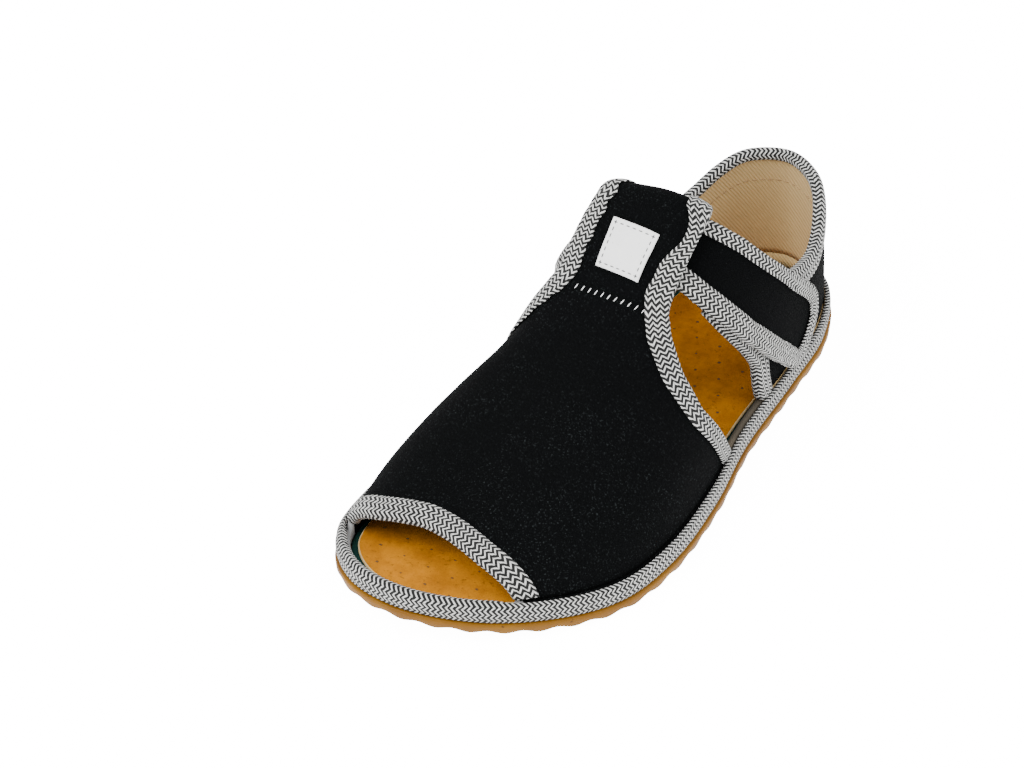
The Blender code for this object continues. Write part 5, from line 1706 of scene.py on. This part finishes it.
toe_line = over_band(upper_point, over_band(upper_point, toe_places(110))[::-1])
toe_rails = tape_rails(upper_point, LAST_OUT, toe_line, 1, legs_of(len(toe_line)), (0, 1))
toe_tape = tape("toe_tape", upper_point, LAST_OUT, toe_line, toe_rails, WALL)
bar_tapes = []
for side, name, number in ((1, "lateral", 0), (-1, "medial", TBAR_ACROSS)):
    line = over_band(upper_point, vamp_edge_places(side, 75))
    line += tbar_column(number)[:TBAR_STEPS + FOLD_STEPS + RETURN_STEPS // 2]
    rails = tape_rails(upper_point, LAST_OUT, line, side, legs_of(len(line)), (0,))
    bar_tapes.append(tape("bar_tape_" + name, upper_point, LAST_OUT, line, rails, WALL))

# %% [markdown]
# Tape of the collar
# At the collar the tape's inner leg is much narrower than the outer one, so the beige lining shows nearly up
# to the edge.

# %% Tapes of the collar and wings
WING_TAPE_END = 0.07    # the wings' tape ends a little short of the T-bar, under the strap
COLLAR_INSIDE = 0.35    # the collar's inner leg, as a share of the outer one
collar_line = [high for _, high in quarter_columns]
collar_rails = tape_rails(wall_point, WALL_OUT, collar_line, -1, legs_of(len(collar_line)))
collar_tape = tape("collar_tape", wall_point, WALL_OUT, collar_line, collar_rails, WALL, COLLAR_INSIDE)
wing_tapes = []
for side, name in ((1, "lateral"), (-1, "medial")):
    line = over_band(wall_point, [wing_low(s, side) for s in np.linspace(1.0, WING_TAPE_END, 60)])
    rails = tape_rails(wall_point, WALL_OUT, line, -side, legs_of(len(line)), (0,))
    wing_tapes.append(tape("wing_tape_" + name, wall_point, WALL_OUT, line, rails, WALL))

# %% [markdown]
# Strap
# A felt strap is sewn to the inner side, passes through the T-bar's loop and closes on the outer wing. Its
# end is round, and tape runs round all its free edges.

# %% Strap
STRAP_STEPS = 90
TIP_STEPS = 16
STRAP_ACROSS = 14
TIP_ROUNDNESS = 2.2     # 2 is an ellipse, more is squarer
TIP_LEG = 0.80          # the tape's leg round the end, as a share of its full one
LEG_PAST = 0.5          # how far a leg may reach past the strap's middle


@lru_cache(maxsize=None)
def strap_face(y, arc):
    return last_point(y, arc) + normal_of(last_point, y, arc, LAST_OUT)[0] * (STRAP_LIFT + STRAP_T)


def strap_rows():
    """Middle place, half width and both tape legs, row by row to the round end."""
    t = np.linspace(0.0, 1.0, len(STRAP))
    fine = np.linspace(0.0, 1.0, 300)
    ys = y_at(eased(fine, t, column(STRAP, 0)))
    arcs = eased(fine, t, column(STRAP, 1)) * BALL_WIDTH
    points = np.array([strap_face(y, a) for y, a in zip(ys, arcs)])
    run = run_along(points)
    body = np.linspace(0.0, run[-1] - TIP_LENGTH, STRAP_STEPS + 1)
    angles = np.linspace(0.0, math.radians(88.0), TIP_STEPS + 1)[1:]
    tip = run[-1] - TIP_LENGTH + TIP_LENGTH * np.sin(angles)
    rows = []
    for length in np.concatenate([body, tip]):
        share = float(np.interp(length, run, fine))
        beyond = max(0.0, (length - run[-1] + TIP_LENGTH) / TIP_LENGTH)
        narrowing = (1.0 - beyond ** TIP_ROUNDNESS) ** (1.0 / TIP_ROUNDNESS)
        half = STRAP_WIDTH / 2.0 * float(eased(share, t, column(STRAP, 2))) * narrowing
        legs = [TAPE_LEG * float(eased(share, t, column(STRAP, k))) for k in (3, 4)]
        rows.append(((float(np.interp(length, run, ys)), float(np.interp(length, run, arcs))), half, legs))
    return rows


strap_line = strap_rows()
strap_middles = np.array([strap_face(*place) for place, _, _ in strap_line])
strap_ahead = smooth_row(np.gradient(strap_middles, axis=0))
strap_grid = []
for (place, half, _), ahead in zip(strap_line, strap_ahead):
    normal = normal_of(strap_face, *place, LAST_OUT)[0]
    down = np.cross(ahead, normal)
    down = down / np.linalg.norm(down)
    shares = np.linspace(-1.0, 1.0, STRAP_ACROSS + 1)
    strap_grid.append([moved(strap_face, *place, down, half * share) for share in shares])
strap_points, strap_faces, _ = sheet(*lay(strap_face, LAST_OUT, strap_grid), STRAP_T)
strap = piece("felt_strap", strap_points, strap_faces, [strap_felt])

# %% [markdown]
# Tape of the strap
# One tape runs along the upper edge, round the end and back along the lower edge. Its legs widen and narrow
# on the way, and they are evened out so that the weave doesn't jump.

# %% Tape of the strap
strap_edge = [row[0] for row in strap_grid] + [row[-1] for row in strap_grid[::-1]]
strap_legs = [min(legs[0], half + LEG_PAST) for _, half, legs in strap_line]
strap_legs += [min(legs[1], half + LEG_PAST) for _, half, legs in strap_line[::-1]]
for k in range(STRAP_STEPS + 1, len(strap_edge) - STRAP_STEPS - 1):
    strap_legs[k] = TAPE_LEG * TIP_LEG
strap_legs = [float(v) for v in smooth_row(np.array(strap_legs)[:, None], 6)[:, 0]]
strap_rails = tape_rails(strap_face, LAST_OUT, strap_edge, -1, strap_legs)
strap_tape = tape("strap_tape", strap_face, LAST_OUT, strap_edge, strap_rails, STRAP_T)

# %% [markdown]
# Pad and patch
# Under the strap the outer wing has a smooth grey fastening pad. On the T-bar sits a plain white patch with a
# dashed border. Both are thin sheets laid on the surface that carries them, so they bend with it.

# %% Pad
pad_face = raised(wall_point, WALL_OUT, CLEAR + PAD_T)
pad_rows = []
for share in np.linspace(PAD_START, PAD_END, 30):
    low, high = np.array(wing_low(share, 1)), np.array(wing_high(share, 1))
    height = np.linalg.norm(wall_point(*high) - wall_point(*low))
    margin = (TAPE_LEG * PAD_MARGIN + CLEAR) / height
    pad_rows.append([tuple(low + (high - low) * (margin + (1.0 - 2.0 * margin) * k / 8.0)) for k in range(9)])
pad_points, pad_faces, _ = sheet(*lay(pad_face, WALL_OUT, pad_rows), PAD_T)
pad = piece("grey_pad", pad_points, pad_faces, [pad_grey])

# %% Patch
label_y = float(y_at(LABEL_STATION))
label_half = LABEL_HEIGHT / 2.0 / math.hypot(1.0, ridge_slope(label_y))
label_face = raised(upper_point, LAST_OUT, CLEAR + LABEL_T)
label_rows = []
for y in np.linspace(label_y - label_half, label_y + label_half, 25):
    label_rows.append([(y, LABEL_ARC + LABEL_WIDTH * (k / 20.0 - 0.5)) for k in range(21)])
label_points, label_faces, _ = sheet(*lay(label_face, LAST_OUT, label_rows), LABEL_T)
label = piece("white_patch", label_points, label_faces, [patch_white])

# %% [markdown]
# Stitches
# Seams show as rows of short threads. Each seam is a line laid on its surface, and Geometry Nodes set a small
# thread at every step along it.

# %% Stitches by Geometry Nodes
def stitch_tree():
    group = bpy.data.node_groups.new("stitches", "GeometryNodeTree")
    add_socket(group, "Geometry", "NodeSocketGeometry")
    sockets = {
        "spacing": add_socket(group, "Spacing", "NodeSocketFloat", 0.002),
        "length": add_socket(group, "Thread Length", "NodeSocketFloat", 0.0013),
        "radius": add_socket(group, "Thread Radius", "NodeSocketFloat", 0.0002),
        "thread": add_socket(group, "Thread", "NodeSocketMaterial"),
    }
    add_socket(group, "Geometry", "NodeSocketGeometry", in_out="OUTPUT")
    start = group.nodes.new("NodeGroupInput")
    end = group.nodes.new("NodeGroupOutput")
    curve = group.nodes.new("GeometryNodeMeshToCurve")
    points = group.nodes.new("GeometryNodeCurveToPoints")
    points.mode = "LENGTH"
    thread = group.nodes.new("GeometryNodeMeshIcoSphere")
    thread.inputs["Radius"].default_value = 1.0
    thread.inputs["Subdivisions"].default_value = 2
    size = group.nodes.new("ShaderNodeCombineXYZ")
    half = group.nodes.new("ShaderNodeMath")
    half.operation = "MULTIPLY"
    half.inputs[1].default_value = 0.5
    place = group.nodes.new("GeometryNodeInstanceOnPoints")
    real = group.nodes.new("GeometryNodeRealizeInstances")
    smooth = group.nodes.new("GeometryNodeSetShadeSmooth")
    paint = group.nodes.new("GeometryNodeSetMaterial")
    links = group.links
    links.new(start.outputs["Geometry"], curve.inputs[0])
    links.new(curve.outputs[0], points.inputs["Curve"])
    links.new(start.outputs["Spacing"], points.inputs["Length"])
    links.new(start.outputs["Thread Length"], half.inputs[0])
    links.new(start.outputs["Thread Radius"], size.inputs[0])
    links.new(start.outputs["Thread Radius"], size.inputs[1])
    links.new(half.outputs[0], size.inputs[2])
    links.new(points.outputs["Points"], place.inputs["Points"])
    links.new(points.outputs["Rotation"], place.inputs["Rotation"])
    links.new(thread.outputs["Mesh"], place.inputs["Instance"])
    links.new(size.outputs[0], place.inputs["Scale"])
    links.new(place.outputs["Instances"], real.inputs["Geometry"])
    links.new(real.outputs["Geometry"], smooth.inputs[0])
    links.new(smooth.outputs[0], paint.inputs["Geometry"])
    links.new(start.outputs["Thread"], paint.inputs["Material"])
    links.new(paint.outputs["Geometry"], end.inputs["Geometry"])
    return group, sockets


stitch_group, stitch_sockets = stitch_tree()
print("stitch tree", len(stitch_group.nodes), "nodes")


def stitched(name, lines, spacing, length, radius, thread):
    points = []
    edges = []
    for line in lines:
        start = len(points)
        points += [to_metres(point) for point in line]
        edges += [(start + k, start + k + 1) for k in range(len(line) - 1)]
    mesh = bpy.data.meshes.new(name + "_lines")
    mesh.from_pydata(points, edges, [])
    carrier = new_object(name + "_lines", mesh)
    settings = {
        stitch_sockets["spacing"]: spacing * MM, stitch_sockets["length"]: length * MM,
        stitch_sockets["radius"]: radius * MM, stitch_sockets["thread"]: thread,
    }
    return baked(carrier, stitch_group, settings, name)


# %% [markdown]
# Seams
# Four seams show: grey dashes round the patch, white ticks across the foot of the T-bar, a brown line in the
# lining below the collar, and a short white line across the strap's sewn end.

# %% Border of the patch
def on_surface(surface, outward, places, lift):
    return [surface(*place) + normal_of(surface, *place, outward)[0] * lift for place in places]


BORDER = 1.0            # distance of the dashes from the patch's edge
low_y, high_y = label_y - label_half + BORDER, label_y + label_half - BORDER
left_arc, right_arc = LABEL_ARC - LABEL_WIDTH / 2.0 + BORDER, LABEL_ARC + LABEL_WIDTH / 2.0 - BORDER
corners = [(low_y, left_arc), (high_y, left_arc), (high_y, right_arc), (low_y, right_arc), (low_y, left_arc)]
border_lines = []
for a, b in zip(corners, corners[1:]):
    places = [tuple(np.array(a) + (np.array(b) - np.array(a)) * t) for t in np.linspace(0.0, 1.0, 14)]
    border_lines.append(on_surface(label_face, LAST_OUT, places, 0.03))
patch_border = stitched("patch_border", border_lines, 1.75, 1.15, 0.15, grey_thread)

# %% Stitches at the T-bar's foot
TICKS = 11
TICK_START = -8.2       # arc of the first stitch, and from there to the last
TICK_REACH = 19.6
TICK_BEND = 0.9         # how far the row bends back on its way, and where it starts
TICK_BACK = -0.4
tick_lines = []
for k in range(TICKS):
    share = k / (TICKS - 1.0)
    arc = TICK_START + TICK_REACH * share
    y = root_y + TICK_BEND * share ** 2 + TICK_BACK
    places = [(y - 1.0, arc - 0.3), (y, arc), (y + 1.0, arc + 0.3)]
    tick_lines.append(on_surface(upper_point, LAST_OUT, places, 0.1))
foot_stitches = stitched("foot_stitches", tick_lines, 3.0, 1.6, 0.15, white_thread)

# %% Seam of the lining
LINING_DROP = 9.5       # how far the lining's seam runs below the collar
lining_places = []
for _, (run, z) in quarter_columns[WING_STEPS + 4:len(quarter_columns) - WING_STEPS - 4]:
    lining_places.append((run, z - LINING_DROP))
lining_line = on_surface(wall_point, WALL_OUT, lining_places, -(WALL + 0.05))
lining_seam = stitched("lining_seam", [lining_line], 2.3, 1.7, 0.16, brown_thread)

# %% Seam of the strap
SEAM_ROW = 9            # row of the strap that a line of white stitches crosses, on the inner side
strap_seam_places = strap_grid[SEAM_ROW][4:STRAP_ACROSS - 4]
strap_seam_line = on_surface(strap_face, LAST_OUT, strap_seam_places, 0.08)
strap_seam = stitched("strap_seam", [strap_seam_line], 1.8, 1.1, 0.14, white_thread)

# %% [markdown]
# Handing over
# Each piece stands in for the solid of the same part in the frame, and moves with it.

# %% Pieces and their nodes
STANDS_FOR = (
    # piece, node
    (outsole, "outsole"), (foam, "insole_foam"), (footbed, "insole"), (band, "sole_binding"),
    (upper, "upper"), (toe_tape, "toe_binding"), (bar_tapes[0], "tbar_binding_lateral"),
    (bar_tapes[1], "tbar_binding_medial"), (collar_tape, "collar_binding"),
    (wing_tapes[0], "wing_binding_lateral"), (wing_tapes[1], "wing_binding_medial"),
    (strap, "strap"), (strap_tape, "strap_binding"), (pad, "loop_pad"), (label, "label"),
)
for made, node in STANDS_FOR:
    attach(made, "root")
    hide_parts(node)
EXTRAS = (
    # piece, slot
    (pinholes, "insole"), (patch_border, "label"), (foot_stitches, "upper"), (lining_seam, "upper"),
    (strap_seam, "strap"),
)
for made, node in EXTRAS:
    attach(made, "root")

# %% Sizes
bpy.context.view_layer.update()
triangles = sum(len(p.vertices) - 2 for o in bpy.data.objects if o.type == "MESH" for p in o.data.polygons)
print("triangles", triangles)
